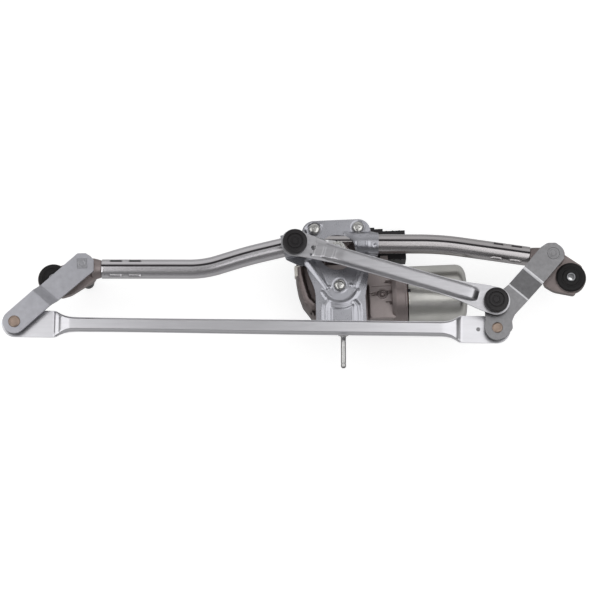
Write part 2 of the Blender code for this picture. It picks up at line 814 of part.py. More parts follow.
def build_motor(motor):
    axis = motor @ Matrix.Translation((0, -GEAR_CENTRES, WORM_Z)) @ Matrix.Rotation(math.pi / 2, 4, "Y")
    grey = (0.36, 0.33, 0.32)
    steel = (0.6, 0.6, 0.6)
    black = (0.03, 0.03, 0.03)
    low_plate = PLATE_TOP - SHEET - GAP
    tray = prism(case_outline(58.0), CASE_BOTTOM, CHAMBER_TOP, matrix=motor)
    case = make_object("gearbox_housing", tray, grey)
    lower = [(-44.0, -9), (-44.0, -22), (-42.0, -35.8), (-38.0, -48.8), (-27.7, -63.6), (-19.8, -69.5)]
    lower += [(57.5, -70.5), (57.5, -13.6), (38, -10)]
    k = CASE_SHAPE
    lower = [(x * k if x < 50 else x, y * k) for x, y in lower]
    join(case, prism(lower, CHAMBER_TOP - 1.2, -27.0, matrix=motor))
    join(case, prism(circle((0, 0), 25.0, 18), CHAMBER_TOP - 1, low_plate, matrix=motor))
    block = [(-13, 2), (-12, -GEAR_CENTRES - 3.8), (12, -GEAR_CENTRES - 3.8), (13, 2)]
    join(case, prism(block, CHAMBER_TOP - 0.7, low_plate - 0.4, matrix=motor))
    for place in SCREW_PLACES[:2]:
        join(case, prism(circle(place, 7.2, 10), CHAMBER_TOP - 0.8, low_plate))
    flange = ((0, 55), (YOKE_R, 55), (YOKE_R, YOKE_START - GAP), (0, YOKE_START - GAP))
    join(case, revolve(flange, 24, axis))
    join(case, prism(circle((46.5, -29.5), 4.4, 12), -28, -24.0, matrix=motor))
    cut(case, prism(circle((0, 0), WHEEL_R + 1.2, 24), CASE_BOTTOM - 5, CHAMBER_TOP - 2.4, matrix=motor))
    cut(case, revolve(((0, -25), (WORM_R + 1.6, -25), (WORM_R + 1.6, 50), (0, 50)), 12, axis))
    cut(case, revolve(((0, -34), (SHAFT_R + GAP + 0.1, -34), (SHAFT_R + GAP + 0.1, -20), (0, -20)), 8, axis))
    seat = 11.0 + GAP + 0.2
    room = YOKE_R - 3.4
    hollow = ((0, 49), (seat, 49), (seat, 60), (room, 60), (room, YOKE_START + 5), (0, YOKE_START + 5))
    cut(case, revolve(hollow, 18, axis))
    bore = OUTPUT_R + GAP + BEARING_WALL + GAP
    cut(case, prism(circle((0, 0), bore, 16), CHAMBER_TOP - 8, low_plate + 5, matrix=motor))
    for place in SCREW_PLACES:
        cut(case, prism(circle(place, SCREW_R + GAP, 8), -25.5, low_plate + 5))
    smooth_round(case, 30)
    profile = ((OUTPUT_R + GAP, -35), (bore - GAP, -35), (bore - GAP, low_plate), (OUTPUT_R + GAP, low_plate))
    turned("output_bearing", profile, 16, (0.5, 0.38, 0.22), motor)
    for i, place in enumerate(SCREW_PLACES):
        pan_screw("motor_screw_%d" % (i + 1), place, PLATE_TOP + GAP, -24.0, SCREW_HEAD_R, SCREW_R)

    lid = prism(case_outline(54.0), CASE_BOTTOM - GAP - 3.0, CASE_BOTTOM - GAP, matrix=motor)
    cover = make_object("gear_cover", lid, black)
    top = -34.0
    base = CASE_BOTTOM - GAP - 3.0
    x = PLUG_X
    join(cover, box((x, -5, base), (x + 33, 31, top), motor))
    join(cover, box((x - 5, 25, base + 6), (x + 0.5, 32.5, top), motor))
    join(cover, box((x - 10.5, 2, base), (x + 1.5, 16, base + 2.8), motor))
    cut(cover, box((x + 5.5, -2.5, base + 2.5), (x + 35.5, 28.5, top - 2.5), motor))
    smooth_round(cover, 30)
    carrier = box((x + 5.8, 0, -50.0), (x + 8, 26, -42.0), motor)
    pins = make_object("connector_pins", carrier, (0.7, 0.6, 0.35))
    for i in range(5):
        y = 2.0 + i * 5.2
        join(pins, box((x + 7.5, y, -46.6), (x + 23.5, y + 1.2, -42.8), motor))
    for i, place in enumerate(((-30.0, -46.0), (50.0, -20.0))):
        pan_screw_below("cover_screw_%d" % (i + 1), case, cover, place, motor)

    yoke = (
        (YOKE_R, YOKE_START),
        (YOKE_R, YOKE_END - 13.5),
        (YOKE_R - 1.3, YOKE_END - 8.8),
        (YOKE_R - 4.4, YOKE_END - 5.2),
        (YOKE_R - 9.0, YOKE_END - 3.2),
        (11.0, YOKE_END - 1.8),
        (9.4, YOKE_END),
        (0, YOKE_END),
        (0, YOKE_END - 1.8),
        (7.3, YOKE_END - 1.8),
        (7.3, YOKE_END - 6.9),
        (YOKE_R - 6.5, YOKE_END - 8.1),
        (YOKE_R - YOKE_WALL - 0.4, YOKE_END - 11.5),
        (YOKE_R - YOKE_WALL, YOKE_START),
    )
    turned("motor_yoke", yoke, 24, (0.42, 0.43, 0.38), axis)
    low = YOKE_END - 6.5
    ring = ((SHAFT_R + GAP, low), (7.0, low), (7.0, YOKE_END - 2.1), (SHAFT_R + GAP, YOKE_END - 2.1))
    turned("rear_shaft_bearing", ring, 14, (0.5, 0.38, 0.22), axis)
    ring = ((SHAFT_R + GAP, 51), (11.0, 51), (11.0, 59.5), (SHAFT_R + GAP, 59.5))
    turned("front_shaft_bearing", ring, 16, steel, axis)
    room = YOKE_R - 4.2
    plate = ((10.5, 61), (room, 61), (room, 63.5), (10.5, 63.5))
    turned("brush_plate", plate, 20, (0.25, 0.15, 0.08), axis)
    for i, side in enumerate((1, -1)):
        near = min(side * (COMMUTATOR_R + 0.6), side * 18.0)
        far = max(side * (COMMUTATOR_R + 0.6), side * 18.0)
        make_object(
            "brush_%d" % (i + 1), box((-3, near, 63.8), (3, far, 70.8), axis), (0.08, 0.08, 0.08)
        )
        turn = axis @ Matrix.Rotation(math.radians(90 * side), 4, "Z")
        outline = arc((0, 0), MAGNET_R, -62, 62, 8) + arc((0, 0), MAGNET_R - MAGNET_T, 62, -62, 8)
        magnet = make_object("magnet_%d" % (i + 1), prism(outline, 82, 124, matrix=turn), (0.12, 0.12, 0.12))
        smooth_round(magnet, 30)
    wall = -44.5 * CASE_SHAPE - GAP
    plug = [(wall - 1.8, -9 * CASE_SHAPE), (wall, -9 * CASE_SHAPE)]
    plug += [(wall, -19 * CASE_SHAPE), (wall - 1.8, -19 * CASE_SHAPE)]
    make_object("breather_plug", prism(plug, -48, -38, matrix=motor), (0.75, 0.71, 0.62))


def pan_screw_below(name, case, cover, place, motor):
    spot = motor @ Vector((place[0], place[1], 0))
    spot = (spot.x, spot.y)
    cut(case, prism(circle(spot, 2.0 + GAP, 12), CASE_BOTTOM - 1, CASE_BOTTOM + 9.5))
    cut(cover, prism(circle(spot, 2.0 + GAP, 12), CASE_BOTTOM - 9, CASE_BOTTOM + 1))
    pan_screw(name, spot, CASE_BOTTOM - 3.0 - 2 * GAP, CASE_BOTTOM + 8.5, 3.9, 2.0, -1)


def build_levers():
    left_axis = Vector(LEFT_STUD) - Vector(LEFT_PIVOT)
    unit = left_axis.normalized()
    side = Vector((-unit.y, unit.x))

    def strip(u, v):
        p = Vector(LEFT_PIVOT) + unit * u + side * v
        return (p.x, p.y)

    reach = left_axis.length
    outline = [strip(-10.3, -5.6), strip(-5.1, -10.3), strip(-1.5, -LEVER_HALF_W), strip(44.0, -LEVER_HALF_W)]
    outline += [strip(50.0, -LEVER_HALF_W)]
    angle = math.degrees(math.atan2(unit.y, unit.x))
    outline += arc(LEFT_STUD, LEVER_HALF_W + 0.3, angle - 90, angle + 90, 13)
    outline += [strip(50.0, LEVER_HALF_W + 0.3), strip(-3.5, LEVER_HALF_W + 0.5), strip(-10.8, 4.9)]
    holes = [lever_hole(LEFT_PIVOT, 8, GAP), circle(LEFT_STUD, STUD_NECK + GAP, 16)]
    bend = math.radians(angle + 7)
    lever("left_lever", outline, holes, LEFT_PIVOT, (math.cos(bend), math.sin(bend)), 46.4, 55.0)
    spindle("left_spindle", LEFT_PIVOT, 8)
    spindle_cap("left_spindle_cap", LEFT_PIVOT)
    head = LEVER_LOW_TOP + GAP
    profile = (
        (0, LEVER_LOW),
        (STUD_NECK, LEVER_LOW),
        (STUD_NECK, head),
        (6.2, head),
        (6.2, head + 0.8),
        (5.0, head + 1.6),
        (0, head + 1.6),
    )
    turned("left_lever_rivet", profile, 14, (0.38, 0.3, 0.24), at(LEFT_STUD))

    outline = [(-25.3, 34.4), (-32.3, 29.7), (-50.7, 7.8), (-67.5, -12.1), (-80.5, -23.0)]
    outline += [(-90.0, -30.0), (-92.4, -36.0), (-91.8, -50.0)]
    outline += arc(LOWER_STUD, 12.8, 175, 265, 7)
    outline += [(-79.7, -70.8), (-71.2, -67.7), (-63.4, -58.7), (-64.1, -50.7), (-61.0, -43.5)]
    outline += [(-47.4, -28.8), (-30.6, -9.1), (-7.6, 18.0), (-8.9, 28.2), (-16.2, 34.6)]
    holes = [lever_hole(RIGHT_PIVOT, 24, GAP)]
    for place in (UPPER_STUD, LOWER_STUD):
        holes.append(circle(place, STUD_NECK + GAP, 16))
    lever("right_lever", outline, holes, RIGHT_PIVOT, (-0.643, -0.765), 32.2, 57.5)
    spindle("right_spindle", RIGHT_PIVOT, 24)
    spindle_cap("right_spindle_cap", RIGHT_PIVOT)
    ball_stud("right_upper_stud", UPPER_STUD, UP_BALL_Z, 1, LEVER_LOW, 6.0, (0, 0, 0))
    ball_stud("right_lower_stud", LOWER_STUD, DOWN_BALL_Z, -1, LEVER_LOW_TOP, 5.6, (0, 0, 0))


def worm(name, axis):
    """Armature shaft with a single-start worm cut on it."""
    lead = 2 * math.pi * (WHEEL_R + 0.3) / WHEEL_TEETH
    segments = 8
    steps = 4
    turns = 6
    bm = bmesh.new()
    stations = [(-31.0, SHAFT_R - 0.6, 0), (-30.4, SHAFT_R, 0), (-19.0, SHAFT_R, 0), (-17.0, WORM_R - 2.2, 0)]
    first = -lead * turns / 2
    for i in range(turns * steps + 1):
        stations.append((first + lead * i / steps, 0, 1))
    stations += [(17.0, WORM_R - 2.2, 0), (19.0, SHAFT_R, 0)]
    stations += [(YOKE_END - 3.1, SHAFT_R, 0), (YOKE_END - 2.5, SHAFT_R - 0.6, 0)]
    rings = []
    for x, r, thread in stations:
        ring = []
        for k in range(segments):
            a = 2 * math.pi * k / segments
            size = r
            if thread:
                phase = (x / lead - k / segments) % 1.0
                ends = max(0.0, min(1.0, (lead * turns / 2 - abs(x)) / lead))
                size = WORM_R - 2.2 + 2.2 * ends * max(0.0, 1 - abs(phase - 0.5) * 3.2)
            ring.append(bm.verts.new(axis @ Vector((size * math.cos(a), size * math.sin(a), x))))
        rings.append(ring)
    for i in range(len(rings) - 1):
        for k in range(segments):
            n = (k + 1) % segments
            bm.faces.new((rings[i][k], rings[i][n], rings[i + 1][n], rings[i + 1][k]))
    bm.faces.new(rings[0])
    bm.faces.new(rings[-1])
    origin = axis @ Vector((0, 0, 0))
    thing = make_object(name, bm, (0.6, 0.6, 0.6), True, origin)
    smooth_round(thing, 40)
    return thing


def build_crank(motor):
    pivot = (MOTOR_PIVOT[0], MOTOR_PIVOT[1], LEVER_LOW)
    shoulder = CRANK_HUB_Z - GAP
    top = CRANK_HUB_Z + LEVER_T
    profile = (
        (0, -51.0),
        (OUTPUT_R, -51.0),
        (OUTPUT_R, shoulder - 6.0),
        (OUTPUT_R + 2.5, shoulder - 5.0),
        (OUTPUT_R + 2.5, shoulder),
        (OUTPUT_R, shoulder),
        (OUTPUT_R, top),
        (OUTPUT_R - 1, top),
        (OUTPUT_R - 1, top + 6.0),
        (OUTPUT_R - 1.6, top + 6.6),
        (0, top + 6.6),
    )
    turned("output_shaft", profile, 16, (0.6, 0.6, 0.6), motor, pivot)
    teeth = []
    for i in range(WHEEL_TEETH):
        for share, radius in ((0.0, WHEEL_R - 2.2), (0.5, WHEEL_R)):
            a = 2 * math.pi * (i + share) / WHEEL_TEETH
            teeth.append((radius * math.cos(a), radius * math.sin(a)))
    bore = circle((0, 0), OUTPUT_R + GAP + 0.1, 16)
    wheel = prism(teeth, WORM_Z - 4.5, WORM_Z + 4.5, [bore], motor)
    make_object("worm_wheel", wheel, (0.75, 0.73, 0.66), False, pivot)
    line = Vector(CRANK_PIN) - Vector(MOTOR_PIVOT)
    angle = math.degrees(math.atan2(line.y, line.x))
    outline = arc(MOTOR_PIVOT, CRANK_HUB_R, angle - 90, angle - 270, 13)
    outline += arc(CRANK_PIN, CRANK_END_R, angle + 90, angle - 90, 11)
    hole = circle(MOTOR_PIVOT, OUTPUT_R + GAP + 0.1, 18)
    strip = prism(outline, CRANK_HUB_Z, top, [hole])
    bend_up(strip, MOTOR_PIVOT, line, CRANK_HUB_R + 4, CRANK_HUB_R + 17, LEVER_LOW - CRANK_HUB_Z)
    arm = make_object("crank_arm", strip, (0.6, 0.58, 0.58), False, pivot)
    smooth_round(arm, 25)
    hexagon = circle(MOTOR_PIVOT, 7.4, 6, 0.2)
    hole = circle(MOTOR_PIVOT, OUTPUT_R - 1 + GAP, 14)
    nut = prism(hexagon, top + GAP, top + 5.6, [hole])
    make_object("crank_nut", nut, (0.7, 0.7, 0.68), False, pivot)

    axis = motor @ Matrix.Translation((0, -GEAR_CENTRES, WORM_Z)) @ Matrix.Rotation(math.pi / 2, 4, "Y")
    origin = axis @ Vector((0, 0, 0))
    worm("armature_shaft", axis)
    slots = []
    for i in range(8):
        for share, radius in ((0.0, 1.0), (0.41, 1.0), (0.82, 1.0), (0.85, 0.55), (0.97, 0.55)):
            a = 2 * math.pi * (i + share) / 8
            size = CORE_R * radius
            slots.append((size * math.cos(a), size * math.sin(a)))
    core = prism(slots, 84, 122, [circle((0, 0), SHAFT_R + GAP, 12)], axis)
    make_object("armature_core", core, (0.35, 0.2, 0.12), False, origin)
    r = COMMUTATOR_R
    ring = ((SHAFT_R + GAP, 64.2), (r, 64.2), (r, 78), (SHAFT_R + GAP, 78))
    turned("commutator", ring, 14, (0.6, 0.35, 0.2), axis, origin)


def build_rods():
    line = Vector(UPPER_STUD) - Vector(CRANK_PIN)
    length = line.length
    unit = line.normalized()
    origin = (UPPER_STUD[0], UPPER_STUD[1], UP_BALL_Z)
    left_shape = (
        (8.0, 12.9, 4.0, 2.0, 0.0),
        (20.0, 11.4, 5.0, 2.6, 0.0),
        (26.0, 10.9, 6.6, 3.8, 2.2),
        (34.0, 10.2, 7.6, 4.6, 4.2),
        (44.0, 9.4, 8.2, 5.2, RIDGE_H),
    )
    middle = ((0.3, 8.9, 8.4, 5.4), (0.55, 8.9, 8.4, 5.4), (0.72, 9.0, 8.5, 5.5))
    right_shape = (
        (42.0, 10.0, 8.6, 5.6, RIDGE_H),
        (30.0, 11.4, 8.2, 5.4, RIDGE_H),
        (25.0, 12.2, 7.2, 4.6, RIDGE_H * 0.9),
        (21.5, 12.7, 5.4, 3.0, RIDGE_H * 0.5),
        (19.5, 13.0, 4.0, 2.0, 0.0),
        (8.0, 14.3, 4.0, 2.0, 0.0),
    )
    stations = rod_stations(length, 14.6, 14.6, left_shape, middle, right_shape)
    small = (((-271.2, 25.3), 2.5), ((-273.7, 18.2), 1.3))
    rod("short_rod", CRANK_PIN, UPPER_STUD, SHORT_ROD_Z, stations, origin, small)
    ball_socket("short_rod_left_socket", CRANK_PIN, UP_BALL_Z, 1, origin)
    ball_socket("short_rod_right_socket", UPPER_STUD, UP_BALL_Z, 1, origin)
    ball_stud("crank_stud", CRANK_PIN, UP_BALL_Z, 1, None, 0, origin)

    line = Vector(LOWER_STUD) - Vector(LEFT_STUD)
    length = line.length
    origin = (LOWER_STUD[0], LOWER_STUD[1], DOWN_BALL_Z)
    left_shape = (
        (12.0, 14.2, 4.0, 2.0, 0.0),
        (41.4, 14.0, 4.0, 2.0, 0.0),
        (44.5, 12.8, 7.0, 4.8, 0.8),
        (50.0, 10.0, 7.4, 4.9, 3.2),
        (56.0, 8.5, 7.6, 5.0, RIDGE_H),
        (66.0, 7.7, 7.3, 4.9, RIDGE_H),
    )
    middle = ((0.25, 7.4, 7.0, 4.8), (0.6, 7.8, 7.4, 5.1), (0.8, 7.8, 7.4, 5.0))
    right_shape = (
        (58.0, 7.9, 7.5, 5.0, RIDGE_H),
        (50.0, 8.6, 7.8, 5.1, 4.2),
        (44.0, 10.8, 7.8, 5.0, 1.8),
        (40.5, 13.2, 7.0, 4.6, 0.6),
        (38.0, 14.3, 4.0, 2.0, 0.0),
        (12.0, 14.3, 4.0, 2.0, 0.0),
    )
    stations = rod_stations(length, 14.2, 14.3, left_shape, middle, right_shape)
    small = (((-562.0, -51.6), 2.4), ((-98.9, -57.5), 2.4))
    rod("long_rod", LEFT_STUD, LOWER_STUD, LONG_ROD_Z, stations, origin, small)
    ball_socket("long_rod_left_socket", LEFT_STUD, DOWN_BALL_Z, -1, origin)
    ball_socket("long_rod_right_socket", LOWER_STUD, DOWN_BALL_Z, -1, origin)
    ball_stud("left_lever_stud", LEFT_STUD, DOWN_BALL_Z, -1, None, 0, origin)


main()
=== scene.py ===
"""Dressed model of a windscreen wiper linkage: finer pressings, turned parts and finishes on a CAD frame.

Shapes are worked out in millimetres in the frame of the part: +X to the right mount, +Z to the viewer.
"""

import math

import bmesh
import bpy
import numpy as np
from bpy.props import FloatProperty, FloatVectorProperty, IntProperty, PointerProperty
from mathutils import Matrix, Vector
from mathutils.geometry import convex_hull_2d, delaunay_2d_cdt, tessellate_polygon


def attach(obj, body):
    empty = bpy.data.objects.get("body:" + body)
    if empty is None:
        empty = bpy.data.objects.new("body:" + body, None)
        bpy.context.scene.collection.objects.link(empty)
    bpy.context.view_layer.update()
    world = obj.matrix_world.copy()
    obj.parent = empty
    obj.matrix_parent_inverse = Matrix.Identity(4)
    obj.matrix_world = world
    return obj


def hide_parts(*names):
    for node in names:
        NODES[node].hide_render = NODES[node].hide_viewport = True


bl_info = {
    "name": "Wiper linkage",
    "version": (1, 0, 0),
    "blender": (4, 5, 0),
    "location": "View3D > Sidebar > Linkage",
    "description": "Builds the pressings, turned parts, finishes and stage of a wiper linkage",
    "category": "Object",
}

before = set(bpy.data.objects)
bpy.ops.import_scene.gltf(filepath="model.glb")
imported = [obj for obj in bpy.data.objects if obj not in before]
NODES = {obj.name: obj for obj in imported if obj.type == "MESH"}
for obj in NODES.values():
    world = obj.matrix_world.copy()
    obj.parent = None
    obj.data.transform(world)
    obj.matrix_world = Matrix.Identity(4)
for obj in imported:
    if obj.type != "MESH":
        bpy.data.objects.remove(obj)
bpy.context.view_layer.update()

# one millimetre in metres, and the gap between a ball stud and its lever in millimetres
MM = 0.001
GAP = 0.3

# pivots at park and the middles of the bushes, seen from above
RIGHT_PIVOT = (-19.0, 23.2)
LEFT_PIVOT = (-513.8, 12.2)
MOTOR_PIVOT = (-245.6, 28.9)
CRANK_PIN = (-290.4, 31.0)
UPPER_STUD = (-81.2, -31.2)
LOWER_STUD = (-79.6, -57.8)
LEFT_STUD = (-583.0, -51.2)
RIGHT_BUSH = (0.0, 0.0)
LEFT_BUSH = (-544.8, -1.5)

# heights, thicknesses and radii
TUBE_Z = -9.5
LEVER_Z = 6.0
LEVER_T = 4.0
JOGGLE = 7.0
LEVER_LOW_TOP = 17.0
CRANK_Z = 1.5
UP_BALL_Z = 25.3
DOWN_BALL_Z = 4.7
SHORT_ROD_TOP = 26.3
LONG_ROD_TOP = 5.7
PLATE_TOP = -7.5
SHEET = 2.5
ROD_T = 2.0
RIDGE_H = 5.0
TUBE_R = 10.2
TUBE_WALL = 1.5
WING_R = 13.0
SCREW_R = 2.9
SCREW_HEAD_R = 5.9
BALL_R = 6.5
NECK_R = 3.6
LID_R = 12.9
RIVET_HOLE_R = 4.3
SOCKET_HOLE_R = 9.7

SCREW_PLACES = ((-269.9, 53.2), (-223.8, 55.2), (-243.2, -7.1))
LEFT_TUBE = ((-494.1, 10.4), (-385.9, 10.3), (-340.0, 24.8), (-281.0, 39.0))
RIGHT_TUBE = ((-216.5, 37.7), (-137.1, 37.5), (-43.2, 24.0))
LEFT_TUBE_BEND = 15.0
RIGHT_TUBE_BEND = 22.0
BEND_STEPS = 12

# crimps along a tube: on the left one from its start, on the right one back from its end
LEFT_CRIMPS = ((8.2, 21.8), (28.2, 41.8))
RIGHT_CRIMPS = ((20.5, 8.5), (40.0, 28.0))

# large hole of the bracket, behind which the right tube ends
WINDOW = (MOTOR_PIVOT[0], MOTOR_PIVOT[1] - 0.9)
WINDOW_R = 18.9

# wings of the bracket: start and direction on the tube, from and to along it, and the run in
LEFT_WAY = (LEFT_TUBE[2][0] - LEFT_TUBE[3][0], LEFT_TUBE[2][1] - LEFT_TUBE[3][1])
RIGHT_WAY = (RIGHT_TUBE[1][0] - RIGHT_TUBE[0][0], RIGHT_TUBE[1][1] - RIGHT_TUBE[0][1])
WINGS = (
    (LEFT_TUBE[3], LEFT_WAY, -6.0, 22.5, 3.0),
    (RIGHT_TUBE[0], RIGHT_WAY, -24.0, 14.5, 16.0),
)

# beads that taper between two points, with the half width at each and the share of the bead height
TAPERED_BEADS = (
    ((-275.0, 17.6), (-257.0, -10.2), 6.4, 3.0, 1.25),
    ((-219.2, 11.0), (-226.8, -8.0), 4.8, 3.0, 0.95),
)

# beads beside the sunk middle, small round knobs, dimples, and the corners of the sunk middle
SIDE_BEADS = (
    ((-256.0, -25.6), (-258.0, -29.0), (-258.6, -34.0), (-258.6, -60.0)),
    ((-227.4, -25.6), (-224.6, -29.4), (-223.7, -36.0), (-223.7, -60.0)),
)
KNOBS = ((-254.0, -9.4), (-231.4, -7.4))
DIMPLES = ((-221.6, 43.6), (-214.6, 45.1), (-206.6, 33.8))
POCKET = ((-253.7, -60.0), (-227.9, -20.0))

# radius of the bead round the third screw
ROUND_BEAD_R = 19.3

# angles round a tube: the seam, the floor and the edge of its groove, and the two crimps
SEAM = 80.0
SEAM_FLOOR = 4.2
SEAM_EDGE = 5.6
FAR_CRIMP = 43.0
NEAR_CRIMP = 144.0

# softness of a bend in a thick plate, and half the width of the strip on it that takes a painted highlight
BEND = 0.9
BEND_HIGHLIGHT = BEND * 1.8

# turn of the square end of the left spindle
SQUARE_TURN = math.radians(48)

# turn of the motor about its pivot in degrees, and its shaft in its own frame
MOTOR_TILT = 2.5
SHAFT_PLACE = (0, -43.2, -45.0)

# heights of the gear case: its foot, the rise to its body, its underside and the panel
CASE_FOOT = -36.5
CASE_RISE = 9.5
CASE_UNDER = -58.0
PANEL_Z = -26.88

# outlines of the gear case, in the motor's own frame
CASE_LEFT = ((-44.5, -8), (-44.5, -22), (-42.5, -36), (-38.5, -49), (-28, -64), (-20, -70))
CASE_BODY = (
    (-44.0, -9), (-44.0, -22), (-42.0, -35.8), (-38.0, -48.8), (-27.7, -63.6), (-19.8, -69.5), (57.5, -70.5),
    (57.5, -13.6), (38, -10),
)
PANEL = ((32.4, -69.8), (59.8, -13.8))
CASE_HOLLOW = (
    (-38.6, -4), (-37.7, -19.7), (-34.8, -33.5), (-31.7, -44.5), (-25.8, -50.2), (-14.0, -50.6), (-14.0, -4),
)

# a small pit in a corner of the case, and the round mark on its panel
CASE_PIT = (-28.6, -61.2)
ROUND_MARK = (46.2, -43.5)

# stage, in metres and degrees
MIDDLE_X = -0.29
FLOOR_Z = -0.0905
FLOOR_GREY = 0.5
FLOOR_GLOW = 0.72
LAMP_Y = -0.14
FRONT_LAMP = (-1.25, -1.35, 1.6)
CAMERA_PLACE = (-0.290918, -0.642760, 2.934443)
CAMERA_TILT = 12.0
SENSOR = 36.0


# ---------------------------------------------------------------- flat shapes


def circle(centre, radius, count, start=0.0):
    """Points round a circle."""
    points = []
    for i in range(count):
        a = start + 2 * math.pi * i / count
        points.append((centre[0] + radius * math.cos(a), centre[1] + radius * math.sin(a)))
    return points


def arc(centre, radius, start, end, count):
    """Points along part of a circle, angles in degrees."""
    points = []
    for i in range(count):
        a = math.radians(start + (end - start) * i / (count - 1))
        points.append((centre[0] + radius * math.cos(a), centre[1] + radius * math.sin(a)))
    return points


def curve(a, corner, b, steps):
    """Points of a curve from a to b that is drawn towards a corner."""
    points = []
    for k in range(steps + 1):
        t = k / steps
        points.append(a * (1 - t) ** 2 + corner * 2 * t * (1 - t) + b * t * t)
    return points


def resampled(outline, spacing):
    """The same closed outline with its long sides cut into short ones."""
    points = []
    for i, p in enumerate(outline):
        q = outline[(i + 1) % len(outline)]
        steps = max(1, round(math.dist(p, q) / spacing))
        for k in range(steps):
            t = k / steps
            points.append((p[0] + (q[0] - p[0]) * t, p[1] + (q[1] - p[1]) * t))
    return points


def rounded(outline, radius, steps=4):
    """A closed outline with its corners rounded where there is room for it."""
    points = []
    count = len(outline)
    for i, p in enumerate(outline):
        corner = Vector(p)
        before = Vector(outline[i - 1]) - corner
        after = Vector(outline[(i + 1) % count]) - corner
        size = min(radius, before.length * 0.45, after.length * 0.45)
        a = corner + before.normalized() * size
        b = corner + after.normalized() * size
        points += [(q.x, q.y) for q in curve(a, corner, b, steps)]
    return points


def inside(points, outline):
    """True for each point that lies inside a closed outline."""
    x = points[:, 0]
    y = points[:, 1]
    result = np.zeros(len(points), bool)
    for i, (x1, y1) in enumerate(outline):
        x2, y2 = outline[(i + 1) % len(outline)]
        if y1 == y2:
            continue
        crosses = (y1 > y) != (y2 > y)
        result ^= crosses & (x < (x2 - x1) * (y - y1) / (y2 - y1) + x1)
    return result


def clear_of(points, outline, room):
    """True for each point farther than room from every corner of a closely spaced outline."""
    result = np.ones(len(points), bool)
    for x, y in outline:
        result &= (points[:, 0] - x) ** 2 + (points[:, 1] - y) ** 2 > room * room
    return result


def filled(outline, holes, spacing, lines=()):
    """Flat points and triangles that fill an outline with holes, with edges along the given lines."""
    loops = [resampled(outline, spacing)]
    for hole in holes:
        loops.append(resampled(hole, spacing * 0.6))
    xs = [p[0] for p in loops[0]]
    ys = [p[1] for p in loops[0]]
    rows = []
    y = min(ys)
    odd = False
    while y < max(ys):
        x = min(xs) + (spacing / 2 if odd else 0)
        while x < max(xs):
            rows.append((x, y))
            x += spacing
        y += spacing * 0.87
        odd = not odd
    grid = np.array(rows)
    keep = inside(grid, loops[0])
    for hole in loops[1:]:
        keep &= ~inside(grid, hole)
    for loop in loops:
        keep &= clear_of(grid, loop, spacing * 0.6)
    points = []
    edges = []
    for a, b in lines:
        steps = max(1, round(math.dist(a, b) / (spacing * 0.8)))
        row = [Vector(a).lerp(Vector(b), k / steps) for k in range(steps + 1)]
        edges += [(len(points) + k, len(points) + k + 1) for k in range(steps)]
        points += row
        keep &= clear_of(grid, [tuple(p) for p in row], spacing * 0.45)
    for loop in loops:
        first = len(points)
        points += [Vector(p) for p in loop]
        for i in range(len(loop)):
            edges.append((first + i, first + (i + 1) % len(loop)))
    points += [Vector((float(p[0]), float(p[1]))) for p in grid[keep]]
    verts, _, faces, _, _, _ = delaunay_2d_cdt(points, edges, [], 0, 1e-6)
    middles = np.array([[sum(verts[i][k] for i in f) / 3 for k in (0, 1)] for f in faces])
    good = inside(middles, loops[0])
    for hole in loops[1:]:
        good &= ~inside(middles, hole)
    return verts, [f for f, g in zip(faces, good) if g]


# ---------------------------------------------------------------- meshes


def sheet_mesh(outline, holes, spacing, top, under, lines=()):
    """A closed plate whose two faces follow the heights top(x, y) and under(x, y)."""
    flat, faces = filled(outline, holes, spacing, lines)
    bm = bmesh.new()
    upper = [bm.verts.new((p.x, p.y, top(p.x, p.y))) for p in flat]
    lower = [bm.verts.new((p.x, p.y, under(p.x, p.y))) for p in flat]
    rim = {}
    for f in faces:
        bm.faces.new([upper[i] for i in f])
        bm.faces.new([lower[i] for i in reversed(f)])
        for i in range(3):
            edge = (f[i], f[(i + 1) % 3])
            if (edge[1], edge[0]) in rim:
                del rim[(edge[1], edge[0])]
            else:
                rim[edge] = True
    for a, b in rim:
        bm.faces.new((upper[b], upper[a], lower[a], lower[b]))
    for vert in [v for v in bm.verts if not v.link_faces]:
        bm.verts.remove(vert)
    return bm


def turned_mesh(profile, segments, matrix=Matrix.Identity(4), bm=None):
    """Spin a closed outline of (radius, height) points about the Z axis of a matrix."""
    bm = bm or bmesh.new()
    rings = []
    for r, z in profile:
        if r < 1e-6:
            rings.append([bm.verts.new(matrix @ Vector((0, 0, z)))])
        else:
            rings.append([bm.verts.new(matrix @ Vector((x, y, z))) for x, y in circle((0, 0), r, segments)])
    for i, first in enumerate(rings):
        second = rings[(i + 1) % len(rings)]
        if len(first) == 1 and len(second) == 1:
            continue
        for k in range(segments):
            n = (k + 1) % segments
            if len(first) == 1:
                bm.faces.new((first[0], second[k], second[n]))
            elif len(second) == 1:
                bm.faces.new((first[k], first[n], second[0]))
            else:
                bm.faces.new((first[k], first[n], second[n], second[k]))
    return bm


def eased(profile, size, steps=3):
    """A turned outline with its corners eased."""
    points = []
    count = len(profile)
    for i, p in enumerate(profile):
        corner = Vector(p)
        before = Vector(profile[i - 1]) - corner
        after = Vector(profile[(i + 1) % count]) - corner
        if p[0] < 1e-6 or before.length < 0.05 or after.length < 0.05 or before.angle(after) > 2.9:
            points.append(tuple(p))
            continue
        reach = min(size, before.length * 0.45, after.length * 0.45)
        a = corner + before.normalized() * reach
        b = corner + after.normalized() * reach
        points += [(q.x, q.y) for q in curve(a, corner, b, steps)]
    return points


